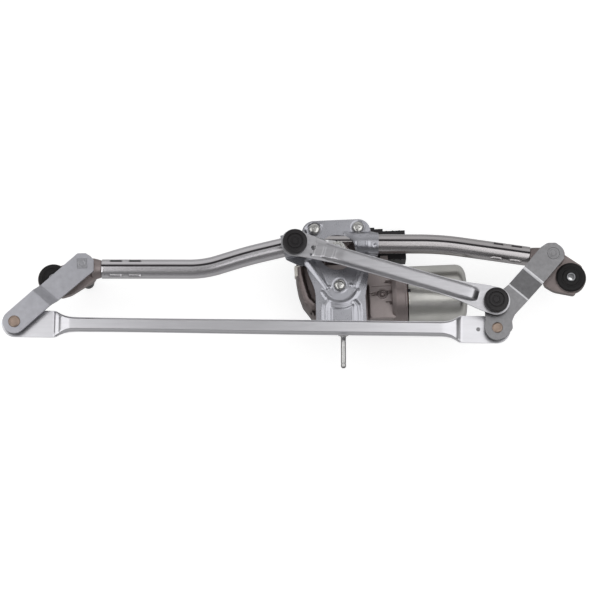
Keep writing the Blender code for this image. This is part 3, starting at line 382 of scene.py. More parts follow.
def slab(outline, low, high, holes=(), matrix=Matrix.Identity(4), bm=None):
    """Raise a flat outline with holes between two heights."""
    bm = bm or bmesh.new()
    loops = [list(outline)] + [list(h) for h in holes]
    flat = [p for loop in loops for p in loop]
    bottom = [bm.verts.new(matrix @ Vector((p[0], p[1], low))) for p in flat]
    top = [bm.verts.new(matrix @ Vector((p[0], p[1], high))) for p in flat]
    for a, b, c in tessellate_polygon([[Vector((p[0], p[1], 0)) for p in loop] for loop in loops]):
        bm.faces.new((top[a], top[b], top[c]))
        bm.faces.new((bottom[c], bottom[b], bottom[a]))
    start = 0
    for loop in loops:
        for i in range(len(loop)):
            a = start + i
            b = start + (i + 1) % len(loop)
            bm.faces.new((bottom[a], bottom[b], top[b], top[a]))
        start += len(loop)
    return bm


def block(low, high, matrix=Matrix.Identity(4), bm=None):
    """A box between two corners."""
    outline = ((low[0], low[1]), (high[0], low[1]), (high[0], high[1]), (low[0], high[1]))
    return slab(outline, low[2], high[2], matrix=matrix, bm=bm)


def at(point):
    """A move to a point seen from above."""
    return Matrix.Translation((point[0], point[1], 0.0))


def along(direction):
    """A turn that lays the Z axis along a flat direction."""
    angle = math.atan2(direction[1], direction[0])
    return Matrix.Rotation(angle, 4, "Z") @ Matrix.Rotation(math.pi / 2, 4, "Y")


def settle(mesh, sharp):
    """Shade a mesh smooth with its edges sharp above an angle."""
    bm = bmesh.new()
    bm.from_mesh(mesh)
    for face in bm.faces:
        face.smooth = True
    for edge in bm.edges:
        edge.smooth = len(edge.link_faces) == 2 and edge.calc_face_angle(0.0) < math.radians(sharp)
    bm.to_mesh(mesh)
    bm.free()


def cut_away(thing, bm):
    """Cut a helper mesh out of an object."""
    helper = bpy.data.objects.new("helper", bpy.data.meshes.new("helper"))
    bmesh.ops.recalc_face_normals(bm, faces=bm.faces)
    bmesh.ops.transform(bm, matrix=Matrix.Scale(MM, 4), verts=bm.verts)
    bm.to_mesh(helper.data)
    bm.free()
    bpy.context.scene.collection.objects.link(helper)
    step = thing.modifiers.new("cut", "BOOLEAN")
    step.object = helper
    step.solver = "EXACT"
    bpy.context.view_layer.update()
    graph = bpy.context.evaluated_depsgraph_get()
    result = bpy.data.meshes.new_from_object(thing.evaluated_get(graph))
    thing.modifiers.remove(step)
    old = thing.data
    thing.data = result
    bpy.data.meshes.remove(old)
    bpy.data.objects.remove(helper, do_unlink=True)


def piece(name, bm, body, stands_for, look, bevel=0.0, sharp=35.0, cuts=(), more=()):
    """Turn a mesh in millimetres into a piece that rides on a body and replaces CAD nodes.

    The material look is index 0 on its faces, and those in more follow it.
    """
    bmesh.ops.remove_doubles(bm, verts=bm.verts, dist=0.0005)
    bmesh.ops.recalc_face_normals(bm, faces=bm.faces)
    bmesh.ops.transform(bm, matrix=Matrix.Scale(MM, 4), verts=bm.verts)
    mesh = bpy.data.meshes.new(name)
    bm.to_mesh(mesh)
    bm.free()
    thing = bpy.data.objects.new(name, mesh)
    bpy.context.scene.collection.objects.link(thing)
    for tool in cuts:
        cut_away(thing, tool)
    settle(thing.data, sharp)
    if bevel:
        soften(thing, bevel)
    marks = [face.material_index for face in thing.data.polygons]
    thing.data.materials.clear()
    for item in (look, *more):
        thing.data.materials.append(item)
    thing.data.polygons.foreach_set("material_index", marks)
    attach(thing, body)
    if stands_for:
        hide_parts(*stands_for)
    return thing


def soften(thing, width):
    """Round the hard edges with a bevel."""
    step = thing.modifiers.new("soft edges", "BEVEL")
    step.width = width * MM
    step.segments = 2
    step.limit_method = "ANGLE"
    step.angle_limit = math.radians(40.0)
    step.harden_normals = True


def dress(name, look, bevel=0.0):
    """Give a CAD node its finish, and soft edges where asked."""
    thing = NODES[name]
    thing.data.materials.clear()
    thing.data.materials.append(look)
    weld = thing.modifiers.new("weld", "WELD")
    weld.merge_threshold = 0.000005
    if bevel:
        flat = thing.modifiers.new("flats", "DECIMATE")
        flat.decimate_type = "DISSOLVE"
        flat.angle_limit = math.radians(1.0)
        soften(thing, bevel)


# ---------------------------------------------------------------- shader graphs


class Wire:
    """The output of a shader node. Sums written with it add Math nodes."""

    def __init__(self, graph, socket):
        self.graph = graph
        self.socket = socket

    def __add__(self, other):
        return self.graph.sum("ADD", self, other)

    def __radd__(self, other):
        return self.graph.sum("ADD", other, self)

    def __sub__(self, other):
        return self.graph.sum("SUBTRACT", self, other)

    def __rsub__(self, other):
        return self.graph.sum("SUBTRACT", other, self)

    def __mul__(self, other):
        return self.graph.sum("MULTIPLY", self, other)

    def __rmul__(self, other):
        return self.graph.sum("MULTIPLY", other, self)


class Graph:
    """The nodes of a material or of the world."""

    def __init__(self, tree):
        self.tree = tree
        tree.nodes.clear()

    def add(self, kind, settings=None, sockets=None, output=0):
        """A node of a type, with its settings made first and then its sockets filled."""
        node = self.tree.nodes.new("ShaderNode" + kind)
        for key, value in (settings or {}).items():
            setattr(node, key, value)
        for key, value in (sockets or {}).items():
            if isinstance(value, Wire):
                self.tree.links.new(value.socket, node.inputs[key])
            else:
                node.inputs[key].default_value = value
        return Wire(self, node.outputs[output]) if len(node.outputs) else None

    def sum(self, operation, a, b):
        """A Math node on two values."""
        return self.add("Math", {"operation": operation}, {0: a, 1: b})

    def mix(self, share, a, b):
        """A colour between two colours."""
        return self.add("Mix", {"data_type": "RGBA"}, {0: share, 6: a, 7: b}, output=2)

    def place(self, stretch):
        """Where a point lies on the object, stretched along the axes."""
        spot = self.add("TexCoord", output="Object")
        return self.add("VectorMath", {"operation": "MULTIPLY"}, {0: spot, 1: stretch})

    def noise(self, spot, scale, detail=2.0, roughness=0.5):
        """Soft noise from nothing to one."""
        sockets = {"Vector": spot, "Scale": scale, "Detail": detail, "Roughness": roughness}
        return self.add("TexNoise", None, sockets)


def solid(colour, share):
    """A share of a colour, with the fourth value that a node wants."""
    return (colour[0] * share, colour[1] * share, colour[2] * share, 1.0)


FINISHES = {}

# how much the roughness of a finish varies, as a share of it
GLOSS_RANGE = 0.25

# depth of the relief of every finish, in metres
RELIEF = 0.0002


def surface(name, colour, roughness, metallic=1.0, mottle=0.15, blotch=60.0, grain=700.0, bump=0.15,
            stretch=(1.0, 1.0, 1.0), shine=0.5, specks=0.0, tint=None):
    """A finish: blotches in the colour, fine grain in the gloss and a little relief.

    The dark blotches take the tint, or else the colour. Stretch draws the pattern out along X.
    """
    material = bpy.data.materials.new(name)
    material.use_nodes = True
    graph = Graph(material.node_tree)
    spot = graph.place(stretch)
    large = graph.noise(spot, blotch, 3.0, 0.6)
    fine = graph.noise(spot, grain, 2.0, 0.6)
    share = large * 1.6 - 0.3
    dark = solid(tint if tint else colour, 1.0 - mottle)
    shade = graph.mix(share, dark, solid(colour, 1.0 + mottle * 0.4))
    if specks:
        dust = graph.add("MapRange", None, {0: graph.noise(spot, grain * 0.6), 1: 0.62, 2: 0.75})
        shade = graph.mix(dust * specks, shade, solid(colour, 0.35))
    gloss = roughness * (1.0 - GLOSS_RANGE / 2) + (fine * 0.6 + large * 0.4) * (roughness * GLOSS_RANGE)
    relief = graph.add("Bump", None, {"Strength": bump, "Distance": RELIEF, "Height": fine + large * 0.7})
    sockets = {
        "Base Color": shade,
        "Roughness": gloss,
        "Metallic": metallic,
        "Normal": relief,
        "Specular IOR Level": shine,
    }
    shader = graph.add("BsdfPrincipled", None, sockets)
    graph.add("OutputMaterial", None, {"Surface": shader})
    FINISHES[name] = material


def finish(name):
    """The material of a finish by its name."""
    return FINISHES[name]


# ---------------------------------------------------------------- settings


class LinkageSizes(bpy.types.PropertyGroup):
    """Sizes that the CAD frame leaves open."""

    edge: FloatProperty(
        name="Edge", description="Width of the soft edge on thick plates", default=0.0007, unit="LENGTH"
    )
    sheet_edge: FloatProperty(
        name="Sheet edge", description="Width of the soft edge on sheet", default=0.0004, unit="LENGTH"
    )
    seam: FloatProperty(name="Seam", description="Depth of the tube seam", default=0.0011, unit="LENGTH")
    crimp: FloatProperty(name="Crimp", description="Depth of a crimp", default=0.0019, unit="LENGTH")
    bead: FloatProperty(name="Bead", description="Height of the bracket beads", default=0.0013, unit="LENGTH")
    segments: IntProperty(name="Segments", description="Facets round a turned part", default=56, min=12)


class LinkageColours(bpy.types.PropertyGroup):
    """Base colours of the finishes."""

    tube: FloatVectorProperty(
        name="Tube", description="Galvanised tube", subtype="COLOR", default=(0.60, 0.585, 0.605)
    )
    darker_tube: FloatVectorProperty(
        name="Dull tube", description="Darker zinc of the right tube", subtype="COLOR",
        default=(0.47, 0.45, 0.455),
    )
    casting: FloatVectorProperty(
        name="Casting", description="Die castings", subtype="COLOR", default=(0.32, 0.275, 0.27)
    )
    dark_casting: FloatVectorProperty(
        name="Dark casting", description="Darker castings", subtype="COLOR", default=(0.235, 0.20, 0.195)
    )
    # casting of the gear case, lighter than the other castings as painted light for the shade of the bracket
    # and rods over it
    case: FloatVectorProperty(
        name="Case", description="Casting of the gear case", subtype="COLOR", default=(0.36, 0.315, 0.31)
    )
    bracket: FloatVectorProperty(
        name="Bracket", description="Bracket plating", subtype="COLOR", default=(0.42, 0.422, 0.455)
    )
    lever: FloatVectorProperty(
        name="Lever", description="Lever plating", subtype="COLOR", default=(0.40, 0.40, 0.43)
    )
    darker_lever: FloatVectorProperty(
        name="Dull lever", description="Duller plating of the right lever", subtype="COLOR",
        default=(0.23, 0.228, 0.235),
    )
    rod: FloatVectorProperty(
        name="Rod", description="Rod plating", subtype="COLOR", default=(0.62, 0.615, 0.64)
    )
    short_rod: FloatVectorProperty(
        name="Short rod", description="Plating of the short rod", subtype="COLOR",
        default=(0.50, 0.495, 0.515),
    )
    yoke: FloatVectorProperty(
        name="Yoke", description="Drawn motor case", subtype="COLOR", default=(0.68, 0.67, 0.64)
    )
    rubber: FloatVectorProperty(
        name="Rubber", description="Mounting bushes", subtype="COLOR", default=(0.012, 0.011, 0.0115)
    )
    plastic: FloatVectorProperty(
        name="Plastic", description="Sockets and cover", subtype="COLOR", default=(0.016, 0.014, 0.0155)
    )
    rivet: FloatVectorProperty(
        name="Rivet", description="Rivet heads", subtype="COLOR", default=(0.33, 0.255, 0.21)
    )
    bright: FloatVectorProperty(
        name="Bright", description="Screws", subtype="COLOR", default=(0.58, 0.575, 0.56)
    )


class StageSettings(bpy.types.PropertyGroup):
    """Floor, light and camera."""

    floor: FloatProperty(name="Floor", description="Side of the floor", default=8.0, unit="LENGTH")
    lamp: FloatProperty(name="Lamps", description="Power of each of the two lamps", default=6.3, unit="POWER")
    lamp_width: FloatProperty(name="Lamp width", description="Width of each lamp", default=1.3, unit="LENGTH")
    lamp_depth: FloatProperty(name="Lamp depth", description="Depth of each lamp", default=1.2, unit="LENGTH")
    front: FloatProperty(name="Front lamp", description="Power of the front lamp", default=3.6, unit="POWER")
    front_size: FloatProperty(
        name="Front lamp size", description="Side of the front lamp", default=0.5, unit="LENGTH"
    )
    lamp_left: FloatProperty(
        name="Left lamp", description="From the middle to the near side of the left lamp", default=0.32,
        unit="LENGTH",
    )
    lamp_right: FloatProperty(
        name="Right lamp", description="From the middle to the near side of the right lamp", default=0.12,
        unit="LENGTH",
    )
    lamp_height: FloatProperty(
        name="Lamp height", description="Height of the lamps", default=1.15, unit="LENGTH"
    )
    sky: FloatProperty(name="Surroundings", description="Grey of the surroundings", default=0.33)
    slope: FloatProperty(name="Slope", description="How much lighter the far side is", default=0.3)
    rim: FloatProperty(name="Rim", description="How much lighter both sides are", default=0.2)
    lens: FloatProperty(name="Lens", description="Focal length of the camera", default=174.63, unit="CAMERA")


# ---------------------------------------------------------------- finishes


class LINKAGE_OT_finishes(bpy.types.Operator):
    """Makes the materials of all pieces"""

    bl_idname = "linkage.finishes"
    bl_label = "Finishes"

    def execute(self, context):
        c = context.scene.linkage_colours
        FINISHES.clear()
        surface("galvanised_tube", c.tube, 0.25, stretch=(0.25, 1, 1), mottle=0.07, grain=900, bump=0.02)
        # the right tube takes a darker copy of the zinc
        surface("darker_tube", c.darker_tube, 0.25, stretch=(0.25, 1, 1), mottle=0.1, grain=900, bump=0.02)
        surface("die_casting", c.casting, 0.46, metallic=0.85, mottle=0.2, blotch=90, grain=500,
                bump=0.4)
        # darker copy of the casting: on the right spindle housing, and as painted shade on the left side of
        # the gear case beside the bracket
        surface("dark_casting", c.dark_casting, 0.46, metallic=0.85, mottle=0.25, blotch=90,
                grain=500, bump=0.4)
        # lighter copy of the casting for the body of the gear case: painted light
        surface("case_casting_painted_light", c.case, 0.44, metallic=0.85, mottle=0.16, blotch=90, grain=500,
                bump=0.35)
        # near-black painted shade for the seam groove and the far crimp slots of the tubes
        surface("seam_shadow", (0.05, 0.045, 0.05), 0.6, metallic=0.5, mottle=0.3)
        surface("bush_rubber", c.rubber, 0.55, metallic=0.0, mottle=0.3, bump=0.25, shine=0.25)
        surface("pin_steel", (0.50, 0.495, 0.49), 0.15, mottle=0.2, blotch=200)
        surface("bracket_plating", c.bracket, 0.28, mottle=0.14, blotch=70, grain=900, bump=0.02)
        surface("lever_plating", c.lever, 0.38, mottle=0.16, blotch=160, grain=1200, bump=0.15)
        # darker copy of the lever plating, for the right lever, its spindle end and the disc in the long
        # rod's dimple
        surface("darker_plating", c.darker_lever, 0.36, mottle=0.22, blotch=230, grain=1200, bump=0.15)
        # pale strip on the bends of the right lever: a painted highlight
        surface("painted_bend_highlight", (0.62, 0.62, 0.64), 0.42, mottle=0.12, blotch=300, bump=0.1)
        surface("rod_plating", c.rod, 0.30, stretch=(0.1, 1, 1), mottle=0.1, blotch=260,
                grain=1300, bump=0.1)
        surface("short_rod_plating", c.short_rod, 0.31, stretch=(0.12, 1, 1), mottle=0.2,
                blotch=260, grain=1300)
        surface("yoke_steel", c.yoke, 0.30, mottle=0.14, blotch=70, stretch=(0.5, 1, 1),
                tint=(0.58, 0.575, 0.545))
        surface("black_plastic", c.plastic, 0.36, metallic=0.0, mottle=0.2, grain=900, bump=0.06,
                shine=0.3)
        surface("cream_plastic", (0.88, 0.84, 0.77), 0.5, metallic=0.0, mottle=0.06)
        surface("rivet_bronze", c.rivet, 0.42, mottle=0.2, blotch=300, grain=1200)
        surface("screw_zinc", c.bright, 0.2, mottle=0.45, blotch=420, bump=0.35)
        surface("worn_steel", (0.34, 0.34, 0.36), 0.34, mottle=0.4, blotch=500, bump=0.3)
        surface("sintered_bronze", (0.45, 0.32, 0.19), 0.5, mottle=0.2, specks=0.5)
        surface("turned_steel", (0.55, 0.55, 0.56), 0.3, mottle=0.1)
        surface("brass", (0.72, 0.58, 0.30), 0.3, mottle=0.1)
        surface("ferrite", (0.06, 0.06, 0.065), 0.6, metallic=0.1, mottle=0.3)
        surface("phenolic_board", (0.20, 0.11, 0.05), 0.55, metallic=0.0, mottle=0.3)
        surface("brush_carbon", (0.05, 0.05, 0.05), 0.5, metallic=0.2, mottle=0.3)
        surface("natural_nylon", (0.72, 0.69, 0.60), 0.45, metallic=0.0, mottle=0.08)
        surface("enamelled_winding", (0.42, 0.16, 0.07), 0.35, metallic=0.6, mottle=0.3, grain=1500)
        surface("commutator_copper", (0.72, 0.38, 0.24), 0.32, mottle=0.2)
        return {"FINISHED"}


# ---------------------------------------------------------------- tubes


def bezier_path(corners, radius, steps):
    """Points along a path whose corners are rounded."""
    points = [Vector(corners[0])]
    for i in range(1, len(corners) - 1):
        before = Vector(corners[i - 1])
        corner = Vector(corners[i])
        after = Vector(corners[i + 1])
        inward = corner + (before - corner).normalized() * radius
        outward = corner + (after - corner).normalized() * radius
        points += curve(inward, corner, outward, steps)
    points.append(Vector(corners[-1]))
    return points


def spaced(points, spacing):
    """Points at an even spacing along a path, with the distance of each from its start."""
    result = []
    walked = 0.0
    for a, b in zip(points, points[1:]):
        length = (b - a).length
        steps = max(1, round(length / spacing))
        for k in range(steps):
            result.append((a.lerp(b, k / steps), walked + length * k / steps))
        walked += length
    result.append((points[-1], walked))
    return result


def half_turn(degrees):
    """The same angle between a half turn back and a half turn on."""
    return (degrees + 180.0) % 360.0 - 180.0


def seam_cut(off, depth):
    """How far the seam sinks at an angle beside its middle."""
    if off <= SEAM_FLOOR:
        return depth
    if off <= SEAM_EDGE:
        return depth * 0.3
    return 0.0


def crimp_cut(degrees, share, depth):
    """Depth of a crimp: a slot on the far side, and a shelf that faces up on the near side."""
    ends = max(0.0, 1 - (2 * share - 1) ** 6) ** 0.5
    slot = 11.0 * ends
    shelf = 10.0 * ends
    far = half_turn(degrees - FAR_CRIMP)
    near = half_turn(NEAR_CRIMP - degrees)
    if abs(far) < slot:
        return depth * min(1.0, 1.6 * (1 - abs(far) / slot))
    if abs(near) < shelf:
        t = near / shelf
        return depth * 1.1 * (t + 1) / 2 * min(1.0, 4 * (1 - t))
    return 0.0


def tube_mesh(corners, radius, crimps, seam_depth, crimp_depth):
    """A rolled tube with its seam and the dents where it grips a casting."""
    path = spaced(bezier_path(corners, radius, BEND_STEPS), 1.0)
    total = path[-1][1]
    offs = [-7.0, -SEAM_EDGE, -SEAM_FLOOR, 0.0, SEAM_FLOOR, SEAM_EDGE]
    offs += [7.0 + 346.0 * k / 128 for k in range(129)]
    count = len(offs) - 1
    bm = bmesh.new()
    outer = []
    inner = []
    for i, (point, run) in enumerate(path):
        ahead = path[min(i + 1, len(path) - 1)][0]
        behind = path[max(i - 1, 0)][0]
        direction = (ahead - behind).normalized()
        side = Vector((-direction.y, direction.x))
        out = []
        ins = []
        lip = max(0.0, 0.35 - min(run, total - run)) / 0.35
        for off in offs[:count]:
            beside = min(abs(off), 360.0 - abs(off))
            r = TUBE_R - seam_cut(beside, seam_depth) - 0.12 * lip
            for low, high in crimps:
                if low < run < high:
                    r -= crimp_cut(SEAM + off, (run - low) / (high - low), crimp_depth)
            a = math.radians(SEAM + off)
            for loop, size in ((out, r), (ins, min(r - 0.4, TUBE_R - TUBE_WALL))):
                flat = point + side * (size * math.cos(a))
                loop.append(bm.verts.new((flat.x, flat.y, TUBE_Z + size * math.sin(a))))
        outer.append(out)
        inner.append(ins)
    for i in range(len(path) - 1):
        run = (path[i][1] + path[i + 1][1]) / 2
        slot = any(low + 0.8 < run < high - 0.8 for low, high in crimps)
        for k in range(count):
            n = (k + 1) % count
            face = bm.faces.new((outer[i][k], outer[i][n], outer[i + 1][n], outer[i + 1][k]))
            # the seam groove and the far crimp slots take the near-black second finish, which is painted
            # shade
            beside = half_turn(SEAM + (offs[k] + offs[k + 1]) / 2 - FAR_CRIMP)
            face.material_index = 1 if 1 <= k <= 4 or (slot and abs(beside) < 11.5) else 0
            bm.faces.new((inner[i][n], inner[i][k], inner[i + 1][k], inner[i + 1][n]))
    for end in (0, -1):
        for k in range(count):
            n = (k + 1) % count
            bm.faces.new((outer[end][k], outer[end][n], inner[end][n], inner[end][k]))
    return bm


def tube_in_window():
    """The part of the right tube that runs on behind the large hole of the bracket."""
    middle = RIGHT_TUBE[0][1]
    seam = middle + TUBE_R * math.cos(math.radians(SEAM))
    outline = [p for p in arc(WINDOW, WINDOW_R - 0.5, 32, 152, 41) if p[1] < middle + 7.6]
    outline = resampled([(p[0], max(p[1], middle - 0.6)) for p in outline], 1.0)

    def top(x, y):
        height = TUBE_Z + math.sqrt(max(1.0, TUBE_R ** 2 - (y - middle) ** 2))
        return height - (1.2 if abs(y - seam) < 0.45 else 0.0)

    def under(x, y):
        wall = TUBE_Z + math.sqrt(max(1.0, (TUBE_R - TUBE_WALL) ** 2 - (y - middle) ** 2))
        return min(top(x, y) - 0.5, wall)

    lines = []
    for off in (-0.85, -0.5, 0.5, 0.85):
        lines.append(((WINDOW[0] - 14.0, seam + off), (WINDOW[0] + 14.0, seam + off)))
    bm = sheet_mesh(outline, [], 1.0, top, under, lines)
    # faces along the seam take the near-black painted shade
    for face in bm.faces:
        middle_y = face.calc_center_median().y
        face.material_index = 1 if abs(middle_y - seam) < 0.8 else 0
    return bm


class LINKAGE_OT_tubes(bpy.types.Operator):
    """Builds the two rolled tubes with their seams and crimps"""

    bl_idname = "linkage.tubes"
    bl_label = "Tubes"

    def execute(self, context):
        sizes = context.scene.linkage_sizes
        seam = sizes.seam / MM
        depth = sizes.crimp / MM
        zinc = finish("galvanised_tube")
        darker_finish = finish("darker_tube")
        dark = [finish("seam_shadow")]
        bm = tube_mesh(LEFT_TUBE, LEFT_TUBE_BEND, LEFT_CRIMPS, seam, depth)
        piece("tube_left", bm, "frame", ["left_tube"], zinc, sharp=50, more=dark)
        length = spaced(bezier_path(RIGHT_TUBE, RIGHT_TUBE_BEND, BEND_STEPS), 1.2)[-1][1]
        crimps = [(length - far, length - near) for far, near in RIGHT_CRIMPS]
        bm = tube_mesh(RIGHT_TUBE, RIGHT_TUBE_BEND, crimps, seam, depth)
        piece("tube_right", bm, "frame", ["right_tube"], darker_finish, sharp=50, more=dark)
        piece("tube_end", tube_in_window(), "frame", [], darker_finish, sharp=50, more=dark)
        return {"FINISHED"}


# ---------------------------------------------------------------- spindle housings and mounts


def web_outline(points, radius):
    """The outline round a set of points, with its corners rounded."""
    order = convex_hull_2d([Vector(p) for p in points])
    return rounded([points[i] for i in order], radius, 3)


def housing_mesh(pivot, bush, corners, tube_end, direction):
    """Barrel, ear, web and spigot of a spindle housing."""
    barrel = ((8.4, -47.5), (12.5, -47.5), (12.5, 3.0), (8.4, 3.0))
    bm = turned_mesh(eased(barrel, 0.7), 64, at(pivot))
    ear = ((10.9, -14.5), (16.3, -14.5), (16.3, -4.5), (10.9, -4.5))
    turned_mesh(eased(ear, 1.4), 64, at(bush), bm)
    outline = web_outline(circle(pivot, 8.6, 28) + circle(bush, 11.0, 28) + list(corners), 3.0)
    slab(outline, -14.5, -5.2, [circle(pivot, 8.5, 32), circle(bush, 10.95, 32)], bm=bm)
    line = Matrix.Translation((tube_end[0], tube_end[1], TUBE_Z)) @ along(direction)
    reach = (Vector(tube_end) - Vector(pivot)).dot(Vector(direction).normalized())
    neck = (
        (0, 9.5 - reach), (11.4, 9.5 - reach), (11.2, 12.0 - reach), (9.6, -1.6), (9.0, -0.3), (8.4, -0.3),
        (8.4, 14.0), (0, 14.0),
    )
    turned_mesh(eased(neck, 0.5), 56, line, bm)
    return bm


class LINKAGE_OT_mounts(bpy.types.Operator):
    """Builds the spindle housings, the rubber bushes and their sleeves"""

    bl_idname = "linkage.mounts"
    bl_label = "Mounts"

    def execute(self, context):
        segments = context.scene.linkage_sizes.segments
        left_web = ((-501.6, -2.5), (-526.0, -18.0), (-536.4, -21.0))
        right_web = ((-28.5, -7.7), (-18.0, -14.3), (4.0, -18.6), (-6.8, 18.6), (12.6, 12.4))
        right_way = Vector(RIGHT_TUBE[-2]) - Vector(RIGHT_TUBE[-1])
        for side, pivot, bush, web, tube_end, way, look in (
            ("left", LEFT_PIVOT, LEFT_BUSH, left_web, LEFT_TUBE[0], (1.0, 0.0), "die_casting"),
            ("right", RIGHT_PIVOT, RIGHT_BUSH, right_web, RIGHT_TUBE[-1], right_way, "dark_casting"),
        ):
            bm = housing_mesh(pivot, bush, web, tube_end, way)
            node = side + "_spindle_housing"
            piece("housing_" + side, bm, "frame", [node], finish(look), bevel=0.4)
            rubber = (
                (4.8, -18.5), (15.4, -18.5), (15.4, -14.8), (10.5, -14.8), (10.5, -4.2), (15.4, -4.2),
                (15.4, -1.9), (14.2, -0.9), (11.2, -0.6), (10.6, -1.2), (9.2, -1.2), (8.6, -0.5), (4.8, -0.5),
            )
            bm = turned_mesh(eased(rubber, 0.4), segments, at(bush))
            piece("bush_" + side, bm, "frame", [side + "_mount_bush"], finish("bush_rubber"))
            sleeve = ((3.3, -19.0), (4.5, -19.0), (4.5, 0.0), (3.3, 0.0))
            bm = turned_mesh(eased(sleeve, 0.4), segments, at(bush))
            node = side + "_mount_sleeve"
            piece("sleeve_" + side, bm, "frame", [node], finish("worn_steel"))
            for end in ("_upper_bearing", "_lower_bearing"):
                dress(side + end, finish("sintered_bronze"))
            dress(side + "_spindle_washer", finish("turned_steel"), 0.2)
        return {"FINISHED"}


# ---------------------------------------------------------------- bracket


def near_line(x, y, a, b):
    """Distance to a line between two points, and how far along it."""
    dx = b[0] - a[0]
    dy = b[1] - a[1]
    t = ((x - a[0]) * dx + (y - a[1]) * dy) / (dx * dx + dy * dy)
    held = min(1.0, max(0.0, t))
    return math.hypot(x - a[0] - dx * held, y - a[1] - dy * held), t


def smooth(t):
    """A soft step from nothing to one."""
    t = min(1.0, max(0.0, t))
    return t * t * (3 - 2 * t)


def swell(distance, half, core=0.3):
    """One on the core of a bead, falling to nothing at its half width."""
    return smooth((half - distance) / (half * (1 - core)))


def higher(a, b, soft):
    """The larger of two heights with a soft inner corner."""
    return (a + b + math.sqrt((a - b) ** 2 + soft * soft) - soft) / 2


def wing_height(x, y, start, direction, low, high, run_in):
    """Height of the half pipe that wraps a tube and rises over run_in, and None outside it."""
    unit = Vector(direction).normalized()
    gap = Vector((x - start[0], y - start[1]))
    run = gap.dot(unit)
    off = abs(gap.x * unit.y - gap.y * unit.x)
    if off > WING_R - 0.02 or run > high + 1:
        return None
    height = TUBE_Z + math.sqrt(WING_R ** 2 - off * off)
    fade = smooth((run - low) / run_in)
    return PLATE_TOP + (height - PLATE_TOP) * fade if fade > 0 else None


def bead_line(x, y, points, half, size):
    """Height of a bead along a line of points."""
    best = 0.0
    for a, b in zip(points, points[1:]):
        distance, _ = near_line(x, y, a, b)
        best = max(best, swell(distance, half, 0.05))
    return best * size


def bracket_top(x, y, bead):
    """Height of the upper face of the bracket."""
    z = PLATE_TOP
    for start, way, low, high, run_in in WINGS:
        wing = wing_height(x, y, start, way, low, high, run_in)
        if wing is not None:
            z = higher(z, wing, 1.8)
    for a, b, first, last, share in TAPERED_BEADS:
        z += bead * share * tapered_bead(x, y, a, b, first, last)
    for place in KNOBS:
        z += bead * 0.6 * swell(math.dist((x, y), place), 2.3, 0.0)

    # round bead below the third screw, with the ground inside it a little lower
    screw_x, screw_y = SCREW_PLACES[2]
    angle = math.degrees(math.atan2(y - screw_y, x - screw_x)) % 360
    radius = math.hypot(x - screw_x, y - screw_y)
    ends = smooth((angle - 196) / 9) * smooth((350 - angle) / 9)
    z += bead * 0.75 * swell(abs(radius - ROUND_BEAD_R), 3.4, 0.0) * ends
    sunk = 0.7 * smooth((ROUND_BEAD_R - radius) / 2.0) * smooth(-(y - screw_y + 2) / 5.0)
    z -= sunk * smooth((radius - 7.0) / 2)

    # sunk middle between the side beads, seats of the screws, dimples
    sink = max(rounded_box(x, y, POCKET[0], POCKET[1], 5.0), 24.0 - radius)
    z -= 1.1 * smooth(-sink / 2.4)
    for line in SIDE_BEADS:
        z += bead * bead_line(x, y, line, 4.4, 0.95)
    for place in SCREW_PLACES:
        z -= 0.5 * smooth((7.6 - math.dist((x, y), place)) / 1.2)
    for place in DIMPLES:
        z -= 0.8 * swell(math.dist((x, y), place), 1.9)

    # rim of the first lobe, and a low band across the right wing
    lobe = SCREW_PLACES[0]
    beside = math.dist((x, y), (lobe[0], lobe[1] - 4.2))
    z += 0.9 * swell(abs(beside - 11.4), 1.6) * smooth((-261.0 - x) / 4) * smooth((y - 46.0) / 5)
    z += 0.5 * swell(abs(x + 213.5), 2.2) * smooth((z + 5.0) / 2)
    return z


def tapered_bead(x, y, a, b, first, last):
    """A bead that is wide and high at one end, narrow and low at the other."""
    distance, t = near_line(x, y, a, b)
    half = first + (last - first) * min(1.0, max(0.0, t))
    return swell(distance, half, 0.05) * half / first


def rounded_box(x, y, low, high, radius):
    """Signed distance to a box with round corners."""
    cx = (low[0] + high[0]) / 2
    cy = (low[1] + high[1]) / 2
    dx = abs(x - cx) - (high[0] - low[0]) / 2 + radius
    dy = abs(y - cy) - (high[1] - low[1]) / 2 + radius
    return math.hypot(max(dx, 0), max(dy, 0)) + min(max(dx, dy), 0) - radius


def bracket_outline():
    """The outer edge of the bracket, seen from above."""
    s1, s2, _ = SCREW_PLACES
    outline = arc((s2[0], s2[1] - 4.2), 13.2, 0, 90, 16)
    outline += arc((s1[0], s1[1] - 4.2), 13.2, 90, 185, 16)
    outline += rounded(
        [
            (-290.0, 46.0), (-306.4, 46.6), (-300.4, 20.6), (-284.2, 13.2), (-278.4, 13.6), (-276.5, 5.5),
            (-270.2, -10.0), (-268.6, -18.0), (-268.1, -44.0), (-267.0, -56.0), (-216.0, -56.0),
            (-215.1, -44.1), (-216.3, -18.3), (-212.7, 5.9), (-211.0, 22.5), (-202.4, 24.2), (-202.2, 48.6),
        ],
        2.5,
    )
    return outline


class LINKAGE_OT_bracket(bpy.types.Operator):
    """Builds the pressed motor bracket with its beads, pocket and tube grips"""

    bl_idname = "linkage.bracket"
    bl_label = "Bracket"

    def execute(self, context):
        sizes = context.scene.linkage_sizes
        bead = sizes.bead / MM
        holes = [circle(WINDOW, WINDOW_R, 72)]
        for place in SCREW_PLACES:
            holes.append(circle(place, 3.3, 20))

        def top(x, y):
            return bracket_top(x, y, bead)

        def under(x, y):
            return max(bracket_top(x, y, bead) - SHEET, PLATE_TOP - SHEET - 0.2)

        bm = sheet_mesh(bracket_outline(), holes, 0.95, top, under)
        block((-259.0, -56.5, -21.0), (-222.0, -54.0, -9.6), bm=bm)
        piece(
            "bracket", bm, "frame", ["motor_bracket"], finish("bracket_plating"),
            bevel=sizes.edge / MM, sharp=50,
        )
        return {"FINISHED"}


